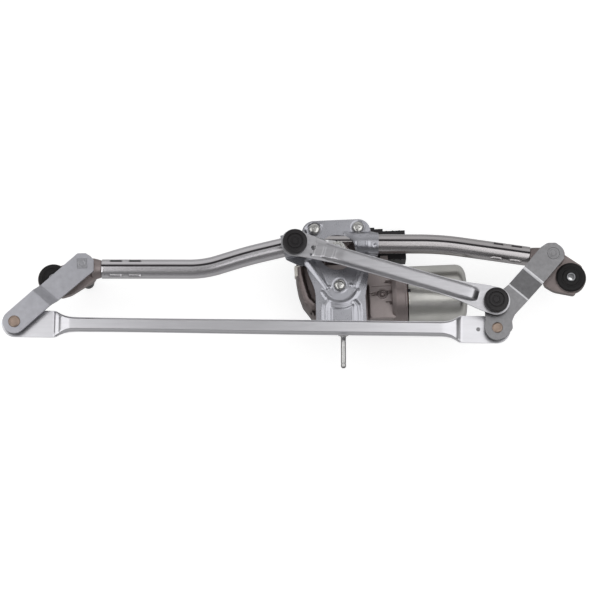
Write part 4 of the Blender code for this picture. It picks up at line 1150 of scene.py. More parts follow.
class LINKAGE_OT_pin(bpy.types.Operator):
    """Builds the locating pin with its collar"""

    bl_idname = "linkage.pin"
    bl_label = "Locating pin"

    def execute(self, context):
        profile = (
            (0, -4.7), (4.6, -4.7), (4.6, -2.8), (3.7, -2.8), (3.7, 0.3), (6.8, 0.3), (6.8, 2.2), (5.2, 3.6),
            (2.9, 4.6), (2.7, 8.0), (2.7, 33.0), (2.5, 33.4), (2.5, 34.0), (2.7, 34.4), (2.7, 37.0),
            (1.6, 38.5), (0, 38.5),
        )
        line = Matrix.Translation((-239.5, -56.5, -15.0)) @ along((0, -1))
        bm = turned_mesh(eased(profile, 0.5), context.scene.linkage_sizes.segments, line)
        piece("pin", bm, "frame", ["locating_pin"], finish("pin_steel"))
        return {"FINISHED"}


class LINKAGE_OT_screws(bpy.types.Operator):
    """Builds the three motor screws with their cross recesses"""

    bl_idname = "linkage.screws"
    bl_label = "Motor screws"

    def execute(self, context):
        for i, place in enumerate(SCREW_PLACES):
            low = PLATE_TOP + 0.3
            profile = [
                (0, -24.0), (SCREW_R, -24.0), (SCREW_R, low), (SCREW_HEAD_R, low), (SCREW_HEAD_R, low + 1.0),
            ]
            for k in range(1, 8):
                a = math.radians(90 * k / 8)
                profile.append((SCREW_HEAD_R * math.cos(a) ** 0.6, low + 1.0 + 2.4 * math.sin(a)))
            profile.append((0, low + 3.4))
            cuts = []
            for angle in (20 + 35 * i, 110 + 35 * i):
                turn = at(place) @ Matrix.Rotation(math.radians(angle), 4, "Z")
                cuts.append(block((-2.7, -0.65, low + 1.4), (2.7, 0.65, low + 5), turn))
            name = "motor_screw_%d" % (i + 1)
            bm = turned_mesh(profile, 48, at(place))
            piece("screw_%d" % (i + 1), bm, "frame", [name], finish("screw_zinc"), cuts=cuts)
        return {"FINISHED"}


# ---------------------------------------------------------------- motor


def motor_frame():
    """Where the motor sits: at the pivot of the crank, turned a little."""
    return at(MOTOR_PIVOT) @ Matrix.Rotation(math.radians(MOTOR_TILT), 4, "Z")


def motor_axis():
    """A turn that lays the Z axis along the shaft of the motor."""
    return motor_frame() @ Matrix.Translation(SHAFT_PLACE) @ Matrix.Rotation(math.pi / 2, 4, "Y")


def depth_in(x, y, outline):
    """How deep a point lies inside an outline, negative outside it."""
    best = 1000.0
    odd = False
    for i, a in enumerate(outline):
        b = outline[(i + 1) % len(outline)]
        best = min(best, near_line(x, y, a, b)[0])
        if (a[1] > y) != (b[1] > y) and x < (b[0] - a[0]) * (y - a[1]) / (b[1] - a[1]) + a[0]:
            odd = not odd
    return best if odd else -best


def case_outline(right):
    """The foot of the gear case in the motor's own frame, up to a place on the right."""
    outline = arc((0, 0), 39.2, -4, 172, 60) + list(CASE_LEFT)
    return outline + [(right, -71), (right, -13), (42, -12.5)]


def case_top(x, y):
    """Height of the upper side of the gear case in the motor's own frame."""
    z = CASE_FOOT + CASE_RISE * smooth((depth_in(x, y, CASE_BODY) + 0.2) / 1.6)
    z -= 5.0 * smooth(depth_in(x, y, CASE_HOLLOW) / 2.6)
    z += 0.8 * swell(abs(depth_in(x, y, CASE_HOLLOW) + 1.2), 1.6)
    beside = math.dist((x, y), CASE_PIT)
    z -= 5.0 * smooth((3.4 - beside) / 0.9) * smooth((beside - 1.2) / 0.7)
    if x > 14 and y < -33.5:
        z -= 12.0 * smooth((32.0 - x) / 1.2)
    return z - 3.0 * smooth((-0.8 - rounded_box(x, y, PANEL[0], PANEL[1], 3.5)) / 0.6)


def panel_top(x, y):
    """Height of the panel beside the bracket, with its grooves and its round mark."""
    z = PANEL_Z - 0.9 * smooth((-34.6 - y) / 0.7)
    beside = math.dist((x, y), ROUND_MARK)
    ring = 0.9 * swell(abs(beside - 4.6), 0.9)
    z += ring - 1.6 * swell(abs(beside - 3.2), 1.0) - 1.2 * smooth((1.9 - beside) / 0.5)
    for a, b in (
        ((49.3, -31.7), (58.9, -32.1)), ((33.4, -42.7), (41.4, -41.2)), ((35.0, -44.9), (41.5, -43.6)),
        ((51.3, -41.0), (59.2, -41.3)), ((51.0, -43.0), (57.0, -43.2)), ((50.5, -52.3), (58.9, -52.6)),
        ((54.5, -54.3), (58.9, -54.5)), ((50.0, -30.0), (56.5, -30.2)),
    ):
        z -= 1.7 * swell(near_line(x, y, a, b)[0], 0.85)
    return z


def gear_case():
    """The gear case with its panel and the flange for the motor case.

    The flange takes the second finish, and the left side of the case the third. The body takes a lighter copy
    of the casting as painted light for the shade of the bracket and rods, and the darker left side beside the
    bracket is painted shade.
    """
    outline = rounded(case_outline(58.0), 1.5, 3)
    (left, near), (right, far) = PANEL
    lines = []
    for step in (0.8, 1.4):
        corners = (
            (left + step, near + step), (right - step, near + step), (right - step, far - step),
            (left + step, far - step),
        )
        lines += [(a, corners[i - 3]) for i, a in enumerate(corners)]
    bm = sheet_mesh(outline, [], 1.3, case_top, lambda x, y: CASE_UNDER, lines)
    # the darker left side beside the bracket is painted shade
    for face in bm.faces:
        face.material_index = 2 if face.calc_center_median().x < -14.0 else 0
    patch = rounded([(left, near), (right, near), (right, far), (left, far)], 3.5, 5)
    panel = sheet_mesh(patch, [], 0.62, panel_top, lambda x, y: -33.0)
    flange = flange_mesh()
    for face in flange.faces:
        face.material_index = 1
    for extra in (panel, boss_meshes(), flange):
        mesh = bpy.data.meshes.new("part")
        extra.to_mesh(mesh)
        extra.free()
        bm.from_mesh(mesh)
        bpy.data.meshes.remove(mesh)
    bmesh.ops.transform(bm, matrix=motor_frame(), verts=bm.verts)
    return bm


def boss_meshes():
    """The neck of the shaft, the bosses of the screws, the ribs of the case and a lug beside the panel."""
    bm = turned_mesh(eased(((8.4, -37.0), (12.6, -37.0), (12.2, -10.6), (8.4, -10.6)), 0.6), 56)
    slab([(-12, -14), (-11, -46.5), (11, -46.5), (12, -14)], -37.0, -10.7, bm=bm)
    for place in SCREW_PLACES[:2]:
        dx = place[0] - MOTOR_PIVOT[0]
        dy = place[1] - MOTOR_PIVOT[1]
        turn = math.radians(-MOTOR_TILT)
        spot = (dx * math.cos(turn) - dy * math.sin(turn), dx * math.sin(turn) + dy * math.cos(turn))
        boss = ((3.3, -37.2), (7.2, -37.2), (6.8, -10.4), (3.3, -10.4))
        turned_mesh(eased(boss, 0.4), 40, at(spot), bm)
    for k in range(12):
        a = 2 * math.pi * (k + 0.5) / 12
        rib = Matrix.Rotation(a, 4, "Z")
        block((12.0, -0.9, -37.0), (25.0, 0.9, -28.0), rib, bm)
    block((45.8, -6.8, -50.0), (53.8, -0.8, -33.4), bm=bm)
    return bm


def flange_mesh():
    """The round flange that the motor case is screwed to."""
    line = Matrix.Translation(SHAFT_PLACE) @ Matrix.Rotation(math.pi / 2, 4, "Y")
    profile = (
        (20.0, 56.0), (28.6, 56.0), (30.6, 59.4), (31.3, 60.4), (31.3, 69.4), (30.9, 69.9), (30.9, 70.5),
        (31.3, 71.0), (31.2, 71.9), (28.0, 71.9), (28.0, 60.5), (20.0, 60.5),
    )
    return turned_mesh(eased(profile, 0.3), 96, line)


def connector():
    """The cover of the gear case with the socket of the cable."""
    bm = slab(rounded(case_outline(54.0), 2.0, 4), -61.3, -58.3)
    outline = [(40.8, -5.0), (73.5, -5.0), (73.5, 26.2), (50.0, 26.2), (50.0, 28.8), (40.8, 28.8)]
    slab(outline, -36.5, -34.0, bm=bm)
    slab(outline, -61.2, -58.8, bm=bm)
    for low, high in (
        ((40.8, -5.0), (73.5, -2.6)), ((40.8, 23.8), (73.5, 26.2)), ((40.8, -5.0), (46.0, 28.8)),
        ((35.6, 24.5), (41.2, 30.6)), ((44.0, 26.0), (50.0, 28.8)),
    ):
        block((low[0], low[1], -61.0), (high[0], high[1], -34.2), bm=bm)
    for x in (53.0, 60.0, 67.0):
        block((x, -5.6, -56.0), (x + 1.2, 26.8, -35.0), bm=bm)
    block((30.0, 2.0, -61.3), (42.0, 16.0, -58.5), bm=bm)
    return bm


class LINKAGE_OT_motor(bpy.types.Operator):
    """Builds the gear case, its cover and the drawn motor case, and finishes the inner parts"""

    bl_idname = "linkage.motor"
    bl_label = "Motor"

    def execute(self, context):
        motor = motor_frame()
        piece(
            "gear_case", gear_case(), "frame", ["gearbox_housing"], finish("case_casting_painted_light"),
            bevel=0.35, sharp=40, more=[finish("die_casting"), finish("dark_casting")],
        )
        bm = connector()
        bmesh.ops.transform(bm, matrix=motor, verts=bm.verts)
        black = finish("black_plastic")
        piece("gear_cover_dressed", bm, "frame", ["gear_cover"], black, bevel=0.4)
        bm = block((-46.0, -19.8, -46.5), (-39.8, -8.7, -28.6), motor)
        piece("breather", bm, "frame", ["breather_plug"], finish("cream_plastic"), bevel=0.8)
        bm = block((72.2, -45.6, -16.5), (75.4, -42.2, -12.9), motor)
        piece("grommet", bm, "frame", [], black, bevel=0.5)
        profile = (
            (31.4, 73.0), (31.4, 125.0), (30.9, 128.0), (29.4, 131.2), (26.6, 133.6), (22.4, 135.2),
            (11.0, 136.7), (10.4, 137.2), (9.4, 138.5), (0, 138.5), (0, 136.7), (7.3, 136.7), (7.3, 131.6),
            (24.9, 130.4), (29.0, 127.0), (29.4, 73.0),
        )
        bm = turned_mesh(eased(profile, 2.0, 4), 96, motor_axis())
        piece("yoke", bm, "frame", ["motor_yoke"], finish("yoke_steel"), sharp=50)
        inner = (
            ("output_bearing", "sintered_bronze"),
            ("rear_shaft_bearing", "sintered_bronze"),
            ("front_shaft_bearing", "turned_steel"),
            ("connector_pins", "brass"),
            ("brush_plate", "phenolic_board"),
            ("brush_1", "brush_carbon"),
            ("brush_2", "brush_carbon"),
            ("magnet_1", "ferrite"),
            ("magnet_2", "ferrite"),
            ("cover_screw_1", "screw_zinc"),
            ("cover_screw_2", "screw_zinc"),
            ("worm_wheel", "natural_nylon"),
            ("output_shaft", "turned_steel"),
            ("crank_nut", "screw_zinc"),
            ("armature_shaft", "turned_steel"),
            ("armature_core", "enamelled_winding"),
            ("commutator", "commutator_copper"),
        )
        for node, name in inner:
            dress(node, finish(name))
        return {"FINISHED"}


# ---------------------------------------------------------------- levers


def joggle(u, start, end, soft):
    """Share of the joggle at a distance from the pivot."""
    if u <= start - soft:
        return 0.0
    if u >= end + soft:
        return 1.0
    run = end - start
    if u < start + soft:
        return (u - start + soft) ** 2 / (4 * soft * run)
    if u > end - soft:
        return 1 - (end + soft - u) ** 2 / (4 * soft * run)
    return (u - start) / run


def lever_mesh(outline, holes, pivot, normal, start, end):
    """A thick strip with a joggle, whose two bends take the second finish, which on the right lever is a pale
    painted highlight.
    """
    unit = Vector(normal).normalized()
    side = Vector((-unit.y, unit.x))
    lines = []
    near_start = (start - BEND_HIGHLIGHT, start - BEND, start, start + BEND, start + BEND_HIGHLIGHT)
    for u in (*near_start, end - BEND, end, end + BEND):
        foot = Vector(pivot) + unit * u
        lines.append((tuple(foot - side * 25), tuple(foot + side * 25)))

    def low(x, y):
        u = (x - pivot[0]) * unit.x + (y - pivot[1]) * unit.y
        return LEVER_Z + JOGGLE * joggle(u, start, end, BEND)

    def high(x, y):
        return low(x, y) + LEVER_T

    bm = sheet_mesh(outline, holes, 1.2, high, low, lines)
    for face in bm.faces:
        middle = face.calc_center_median()
        u = (middle.x - pivot[0]) * unit.x + (middle.y - pivot[1]) * unit.y
        bent = abs(u - start) < BEND_HIGHLIGHT or abs(u - end) < BEND
        face.material_index = 1 if bent and middle.z > low(middle.x, middle.y) + 1 else 0
    return bm


def left_lever():
    """The left lever, with the square hole for its spindle."""
    line = Vector(LEFT_STUD) - Vector(LEFT_PIVOT)
    unit = line.normalized()
    side = Vector((-unit.y, unit.x))

    def strip(u, v):
        p = Vector(LEFT_PIVOT) + unit * u + side * v
        return (p.x, p.y)

    outline = [(-518.8, 23.1), (-509.8, 23.3), (-501.6, 16.3), (-501.6, 4.4), (-506.3, 0.6)]
    outline += [strip(50.0, 12.2)]
    angle = math.degrees(math.atan2(unit.y, unit.x))
    outline += arc(LEFT_STUD, 12.2, angle + 90, angle - 90, 33)
    outline += [strip(50.0, -11.9)]
    outline = rounded(outline, 0.8, 3)
    holes = [circle(LEFT_PIVOT, 7.45, 4, SQUARE_TURN), circle(LEFT_STUD, RIVET_HOLE_R, 32)]
    bend = math.radians(angle + 7)
    return lever_mesh(outline, holes, LEFT_PIVOT, (math.cos(bend), math.sin(bend)), 46.4, 55.0)


def right_lever():
    """The right lever, bent along its outline and with two ball studs."""
    outline = [(-25.3, 34.4), (-32.3, 29.7), (-50.7, 7.8), (-67.5, -12.1), (-80.5, -23.0)]
    outline += [(-90.0, -30.0), (-92.4, -36.0), (-91.8, -50.0)]
    outline += arc(LOWER_STUD, 12.8, 175, 265, 17)
    outline += [(-79.7, -70.8), (-71.2, -67.7), (-63.4, -58.7), (-64.1, -50.7), (-61.0, -43.5)]
    outline += [(-47.4, -28.8), (-30.6, -9.1), (-7.6, 18.0), (-8.9, 28.2), (-16.2, 34.6)]
    outline = rounded(outline, 1.6, 4)
    holes = [circle(RIGHT_PIVOT, 6.4, 40)]
    for place in (UPPER_STUD, LOWER_STUD):
        holes.append(circle(place, RIVET_HOLE_R, 32))
    return lever_mesh(outline, holes, RIGHT_PIVOT, (-0.643, -0.765), 32.2, 57.5)


def stake(pivot, size, sides, turn):
    """A spindle whose end is staked in its lever, with the ring that the tool leaves."""
    top = LEVER_Z + LEVER_T + 0.1
    bm = slab(circle(pivot, size, sides, turn), LEVER_Z, top)
    ring = [(2.6, top - 0.5), (4.3, top - 0.5), (4.3, top + 0.25), (3.4, top + 0.4), (2.6, top + 0.15)]
    turned_mesh(ring, 40, at(pivot), bm)
    profile = (
        (0, -85.5), (3.5, -85.5), (4.5, -84.5), (4.5, -60), (5.0, -58), (5.0, LEVER_Z + 1), (0, LEVER_Z + 1),
    )
    turned_mesh(profile, 32, at(pivot), bm)
    return bm


class LINKAGE_OT_levers(bpy.types.Operator):
    """Builds the two levers, the ends of their spindles and the rivet"""

    bl_idname = "linkage.levers"
    bl_label = "Levers"

    def execute(self, context):
        edge = context.scene.linkage_sizes.edge / MM
        darker_finish = finish("darker_plating")
        # the bends of the right lever take a pale painted highlight
        for side, bm, plating, bend in (
            ("left", left_lever(), finish("lever_plating"), finish("lever_plating")),
            ("right", right_lever(), darker_finish, finish("painted_bend_highlight")),
        ):
            node = side + "_lever"
            piece("lever_" + side, bm, node, [node], plating, bevel=edge, more=[bend])
        bm = stake(LEFT_PIVOT, 7.15, 4, SQUARE_TURN)
        piece("spindle_left", bm, "left_lever", ["left_spindle"], finish("worn_steel"))
        bm = stake(RIGHT_PIVOT, 6.1, 40, 0.0)
        piece("spindle_right", bm, "right_lever", ["right_spindle"], darker_finish, bevel=0.25)
        head = LEVER_LOW_TOP + 0.3
        profile = (
            (0, 13.0), (4.0, 13.0), (4.0, head), (6.2, head), (6.2, head + 0.7), (4.6, head + 1.4),
            (4.2, head + 1.1), (2.0, head + 1.2), (0, head + 1.5),
        )
        bm = turned_mesh(eased(profile, 0.5), 48, at(LEFT_STUD))
        piece("rivet_left", bm, "left_lever", ["left_lever_rivet"], finish("rivet_bronze"))
        for side, pivot in (("left", LEFT_PIVOT), ("right", RIGHT_PIVOT)):
            cap = (
                (0, -89.5), (5.1, -89.5), (6.3, -88.3), (6.3, -62.5), (4.8, -62.5), (4.8, -86.5), (0, -86.5),
            )
            bm = turned_mesh(eased(cap, 0.4), 48, at(pivot))
            node = side + "_spindle_cap"
            piece("cap_" + side, bm, side + "_lever", [node], finish("black_plastic"))
        return {"FINISHED"}


# ---------------------------------------------------------------- ball joints


def stud_mesh(place, ball_z, way, through, head_r):
    """A ball on a flanged neck, riveted through a lever where through is given."""
    face = ball_z - way * 8.3
    start = face + way * GAP
    profile = [(0, start), (6.0, start)]
    if through is not None:
        head = through - way * GAP
        top = head - way * 1.5
        profile = [
            (0, top + way * 0.2), (2.2, top + way * 0.4), (3.6, top + way * 0.1),
            (head_r - 1.2, top + way * 0.1), (head_r, top + way * 0.9), (head_r, head), (4.0, head),
            (4.0, start), (6.0, start),
        ]
    profile += [(6.0, start + way * 1.4), (NECK_R, start + way * 1.4)]
    rise = math.degrees(math.asin(-math.sqrt(BALL_R ** 2 - NECK_R ** 2) / BALL_R))
    for i in range(12):
        a = math.radians(rise + (60 - rise) * i / 11)
        profile.append((BALL_R * math.cos(a), ball_z + way * BALL_R * math.sin(a)))
    profile.append((0, ball_z + way * BALL_R * math.sin(math.radians(60))))
    return turned_mesh(profile, 40, at(place))


def socket_mesh(place, ball_z, way, segments):
    """A plastic ball socket: seat, body through the rod and a broad lid with rings."""
    cavity = 6.8
    mouth = math.radians(-35)
    low = ball_z + way * cavity * math.sin(mouth)
    plate = ball_z + way * 1.3
    lid = ball_z + way * 8.9
    profile = [
        (0, lid - way * 0.5), (3.0, lid - way * 0.55), (3.5, lid - way * 1.1), (4.3, lid - way * 1.1),
        (4.7, lid - way * 0.8), (7.0, lid - way * 0.8), (7.4, lid - way * 1.2), (8.0, lid - way * 1.2),
        (8.5, lid - way * 0.15), (11.3, lid), (12.5, lid - way * 0.5), (LID_R, lid - way * 1.3),
        (LID_R, plate), (9.3, plate), (9.3, low - way * 0.3),
        (cavity * math.cos(mouth) + 0.5, low - way * 0.3),
    ]
    for i in range(9):
        a = mouth + (math.radians(90) - mouth) * i / 8
        size = cavity * 1.02
        profile.append((size * math.cos(a) if i < 8 else 0.0, ball_z + way * size * math.sin(a)))
    return turned_mesh(profile, segments, at(place))


class LINKAGE_OT_joints(bpy.types.Operator):
    """Builds the ball studs and their sockets"""

    bl_idname = "linkage.joints"
    bl_label = "Ball joints"

    def execute(self, context):
        segments = context.scene.linkage_sizes.segments
        bronze = finish("rivet_bronze")
        studs = (
            ("stud_upper", "right_upper_stud", UPPER_STUD, UP_BALL_Z, 1, 13.0, 6.0, "right_lever"),
            ("stud_lower", "right_lower_stud", LOWER_STUD, DOWN_BALL_Z, -1, 17.0, 5.6, "right_lever"),
            ("stud_crank", "crank_stud", CRANK_PIN, UP_BALL_Z, 1, None, 0, "short_rod"),
            ("stud_left", "left_lever_stud", LEFT_STUD, DOWN_BALL_Z, -1, None, 0, "long_rod"),
        )
        for name, node, place, ball_z, way, through, head_r, body in studs:
            bm = stud_mesh(place, ball_z, way, through, head_r)
            piece(name, bm, body, [node], bronze)
        sockets = (
            ("socket_crank", "short_rod_left_socket", CRANK_PIN, UP_BALL_Z, 1, "short_rod"),
            ("socket_upper", "short_rod_right_socket", UPPER_STUD, UP_BALL_Z, 1, "short_rod"),
            ("socket_left", "long_rod_left_socket", LEFT_STUD, DOWN_BALL_Z, -1, "long_rod"),
            ("socket_lower", "long_rod_right_socket", LOWER_STUD, DOWN_BALL_Z, -1, "long_rod"),
        )
        for name, node, place, ball_z, way, body in sockets:
            bm = socket_mesh(place, ball_z, way, segments)
            piece(name, bm, body, [node], finish("black_plastic"), sharp=30)
        return {"FINISHED"}


# ---------------------------------------------------------------- rods


def between(stations, u):
    """Values of the stations at a distance, joined by smooth slopes."""
    if u <= stations[0][0]:
        return stations[0][1:]
    for i in range(len(stations) - 1):
        a = stations[i]
        b = stations[i + 1]
        if u <= b[0]:
            before = stations[max(i - 1, 0)]
            after = stations[min(i + 2, len(stations) - 1)]
            run = b[0] - a[0]
            t = (u - a[0]) / run
            values = []
            for k in range(1, len(a)):
                step = (b[k] - a[k]) / run
                first = slope(before, a, b, k, step)
                last = slope(a, b, after, k, step)
                h1 = 2 * t ** 3 - 3 * t ** 2 + 1
                h2 = t ** 3 - 2 * t ** 2 + t
                h3 = -2 * t ** 3 + 3 * t ** 2
                h4 = t ** 3 - t ** 2
                values.append(h1 * a[k] + h2 * run * first + h3 * b[k] + h4 * run * last)
            return tuple(values)
    return stations[-1][1:]


def slope(before, here, after, k, step):
    """Slope at a station that never overshoots its neighbours."""
    if here[0] <= before[0] or after[0] <= here[0]:
        return step
    one = (here[k] - before[k]) / (here[0] - before[0])
    two = (after[k] - here[k]) / (after[0] - here[0])
    if one * two <= 0:
        return 0.0
    return 2 * one * two / (one + two)


def rod_mesh(left, right, top_z, stations, end_left, end_right):
    """A pressed rod with a ridge that runs out into round plates.

    A station holds a distance from the left end, the half widths of the rod, of the foot of the ridge
    and of its top, and the height of the ridge.
    """
    start = Vector(left)
    line = Vector(right) - start
    length = line.length
    unit = line.normalized()
    side = Vector((-unit.y, unit.x))
    us = [-end_left * math.cos(math.radians(90 * k / 18)) for k in range(18)]
    steps = int(length / 1.1)
    us += [length * k / steps for k in range(steps + 1)]
    us += [length + end_right * math.sin(math.radians(90 * k / 18)) for k in range(1, 19)]
    us[0] += 0.03
    us[-1] -= 0.03
    bm = bmesh.new()
    rows_top = []
    rows_low = []
    for u in us:
        w, b, t, h = between(stations, u)
        if u < 0:
            w = math.sqrt(max(0.0, end_left ** 2 - u * u)) * w / end_left
        if u > length:
            w = math.sqrt(max(0.0, end_right ** 2 - (u - length) ** 2)) * w / end_right
        b = min(b, w - 0.25) if w > 1 else w * 0.7
        t = min(t, b - 0.5) if b > 1 else b * 0.6
        marks = ((-w, -b, 3), (-b, -t, 7), (-t, t, 8), (t, b, 7), (b, w, 3))
        across = [-w]
        for low, high, count in marks:
            for k in range(1, count + 1):
                across.append(low + (high - low) * k / count)
        top = []
        under = []
        for v in across:
            rise = h * smooth((b - abs(v)) / (b - t)) if b > t else 0.0
            p = start + unit * u + side * v
            top.append(bm.verts.new((p.x, p.y, top_z + rise)))
            inner = max(-w, min(w, v * (1 - 0.14 * smooth(rise / 5) * (abs(v) < b))))
            q = start + unit * u + side * inner
            under.append(bm.verts.new((q.x, q.y, top_z + rise - ROD_T)))
        rows_top.append(top)
        rows_low.append(under)
    count = len(rows_top[0])
    for i in range(len(us) - 1):
        for k in range(count - 1):
            bm.faces.new((rows_top[i][k], rows_top[i][k + 1], rows_top[i + 1][k + 1], rows_top[i + 1][k]))
            bm.faces.new((rows_low[i][k + 1], rows_low[i][k], rows_low[i + 1][k], rows_low[i + 1][k + 1]))
        for k in (0, count - 1):
            bm.faces.new((rows_top[i][k], rows_top[i + 1][k], rows_low[i + 1][k], rows_low[i][k]))
    for i in (0, len(us) - 1):
        for k in range(count - 1):
            bm.faces.new((rows_top[i][k], rows_top[i][k + 1], rows_low[i][k + 1], rows_low[i][k]))
    return bm


def short_rod():
    """The short rod, whose ridge rises in steps beside the crank."""
    length = math.dist(CRANK_PIN, UPPER_STUD)
    end_r = 14.6
    stations = [
        (-15.0, end_r, 4.0, 2.0, 0.0), (0.0, end_r, 4.0, 2.0, 0.0), (8.0, 12.9, 6.0, 4.0, 0.0),
        (20.6, 11.4, 9.6, 6.4, 0.0), (22.2, 11.2, 9.6, 6.4, 1.0), (31.0, 10.5, 9.2, 6.0, 1.5),
        (32.6, 10.4, 9.0, 5.9, 2.5), (42.0, 9.7, 8.6, 5.6, 3.1), (43.8, 9.5, 8.5, 5.5, 4.2),
        (54.0, 9.1, 8.4, 5.4, RIDGE_H), (length * 0.4, 8.9, 8.4, 5.4, RIDGE_H),
        (length * 0.72, 9.0, 8.5, 5.5, RIDGE_H), (length - 42.0, 10.0, 8.6, 5.6, RIDGE_H),
        (length - 30.0, 11.4, 8.2, 5.4, RIDGE_H), (length - 25.6, 12.1, 7.8, 5.2, RIDGE_H * 0.95),
        (length - 22.0, 12.6, 6.9, 4.2, RIDGE_H * 0.5), (length - 18.4, 13.1, 6.0, 3.4, 0.0),
        (length - 8.0, 14.3, 4.0, 2.0, 0.0), (length, end_r, 4.0, 2.0, 0.0),
        (length + 15.0, end_r, 4.0, 2.0, 0.0),
    ]
    return rod_mesh(CRANK_PIN, UPPER_STUD, SHORT_ROD_TOP, stations, end_r, end_r)


def long_rod():
    """The long rod, whose ridge narrows from two wide plates."""
    length = math.dist(LEFT_STUD, LOWER_STUD)
    stations = [
        (-15.0, 14.2, 4.0, 2.0, 0.0), (0.0, 14.2, 4.0, 2.0, 0.0), (12.0, 14.2, 8.0, 6.0, 0.0),
        (40.6, 14.1, 13.6, 12.6, 0.0), (42.0, 13.9, 13.4, 12.2, 0.9), (45.6, 12.2, 11.8, 10.0, 1.5),
        (47.2, 11.3, 10.9, 9.0, 2.6), (52.0, 9.4, 9.0, 6.6, 4.0), (57.0, 8.3, 7.8, 5.3, RIDGE_H),
        (66.0, 7.7, 7.3, 4.9, RIDGE_H),
        (length * 0.25, 7.4, 7.0, 4.8, RIDGE_H), (length * 0.6, 7.8, 7.4, 5.1, RIDGE_H),
        (length * 0.8, 7.8, 7.4, 5.0, RIDGE_H), (length - 58.0, 7.9, 7.5, 5.0, RIDGE_H),
        (length - 50.0, 8.8, 8.4, 6.2, 4.3), (length - 44.0, 11.0, 10.6, 8.8, 3.2),
        (length - 42.2, 12.0, 11.6, 10.2, 2.8), (length - 41.0, 12.8, 12.4, 11.0, 2.0),
        (length - 38.0, 14.2, 13.7, 12.6, 0.5), (length - 36.8, 14.3, 13.7, 12.6, 0.0),
        (length - 12.0, 14.3, 8.0, 6.0, 0.0), (length + 15.0, 14.3, 4.0, 2.0, 0.0),
    ]
    return rod_mesh(LEFT_STUD, LOWER_STUD, LONG_ROD_TOP, stations, 14.2, 14.3)


def round_tool(place, radius, z, depth=8):
    """A round cut from above, right through a rod unless a depth is given."""
    return slab(circle(place, radius, 40), z - depth, z + 6)


class LINKAGE_OT_rods(bpy.types.Operator):
    """Builds the short and the long pressed rod"""

    bl_idname = "linkage.rods"
    bl_label = "Rods"

    def execute(self, context):
        edge = context.scene.linkage_sizes.sheet_edge / MM
        bm = short_rod()
        cuts = [
            round_tool(CRANK_PIN, SOCKET_HOLE_R, SHORT_ROD_TOP),
            round_tool(UPPER_STUD, SOCKET_HOLE_R, SHORT_ROD_TOP),
            round_tool((-271.2, 25.3), 2.5, SHORT_ROD_TOP),
            round_tool((-273.7, 18.2), 1.3, SHORT_ROD_TOP),
        ]
        plating = finish("short_rod_plating")
        piece("rod_short", bm, "short_rod", ["short_rod"], plating, bevel=edge, cuts=cuts)

        bm = long_rod()
        shaded_dimple = (-98.9, -57.5)
        cuts = [
            round_tool(LEFT_STUD, SOCKET_HOLE_R, LONG_ROD_TOP),
            round_tool(LOWER_STUD, SOCKET_HOLE_R, LONG_ROD_TOP),
            round_tool((-562.0, -51.6), 2.3, LONG_ROD_TOP, 0.25),
            round_tool(shaded_dimple, 2.2, LONG_ROD_TOP, 1.5),
        ]
        plating = finish("rod_plating")
        piece("rod_long", bm, "long_rod", ["long_rod"], plating, bevel=edge, cuts=cuts)
        # a darker disc sunk in the dimple paints the shade at its floor
        bm = slab(circle(shaded_dimple, 2.1, 32), LONG_ROD_TOP - 1.6, LONG_ROD_TOP - 0.5)
        piece("rod_dimple_painted_shade", bm, "long_rod", [], finish("darker_plating"))
        return {"FINISHED"}


class LINKAGE_OT_crank(bpy.types.Operator):
    """Builds the crank arm"""

    bl_idname = "linkage.crank"
    bl_label = "Crank"

    def execute(self, context):
        line = (Vector(CRANK_PIN) - Vector(MOTOR_PIVOT)).normalized()
        angle = math.degrees(math.atan2(line.y, line.x))
        outline = arc(MOTOR_PIVOT, 8.5, angle - 90, angle - 270, 25)
        outline += arc(CRANK_PIN, 11.0, angle + 90, angle - 90, 33)

        def low(x, y):
            u = (x - MOTOR_PIVOT[0]) * line.x + (y - MOTOR_PIVOT[1]) * line.y
            return CRANK_Z + (LEVER_Z + JOGGLE - CRANK_Z) * joggle(u, 12.5, 25.5, 2.2)

        def high(x, y):
            return low(x, y) + LEVER_T

        bm = sheet_mesh(outline, [circle(MOTOR_PIVOT, 5.4, 40)], 1.4, high, low)
        piece("crank", bm, "crank", ["crank_arm"], finish("turned_steel"), bevel=0.5)
        return {"FINISHED"}


# ---------------------------------------------------------------- stage


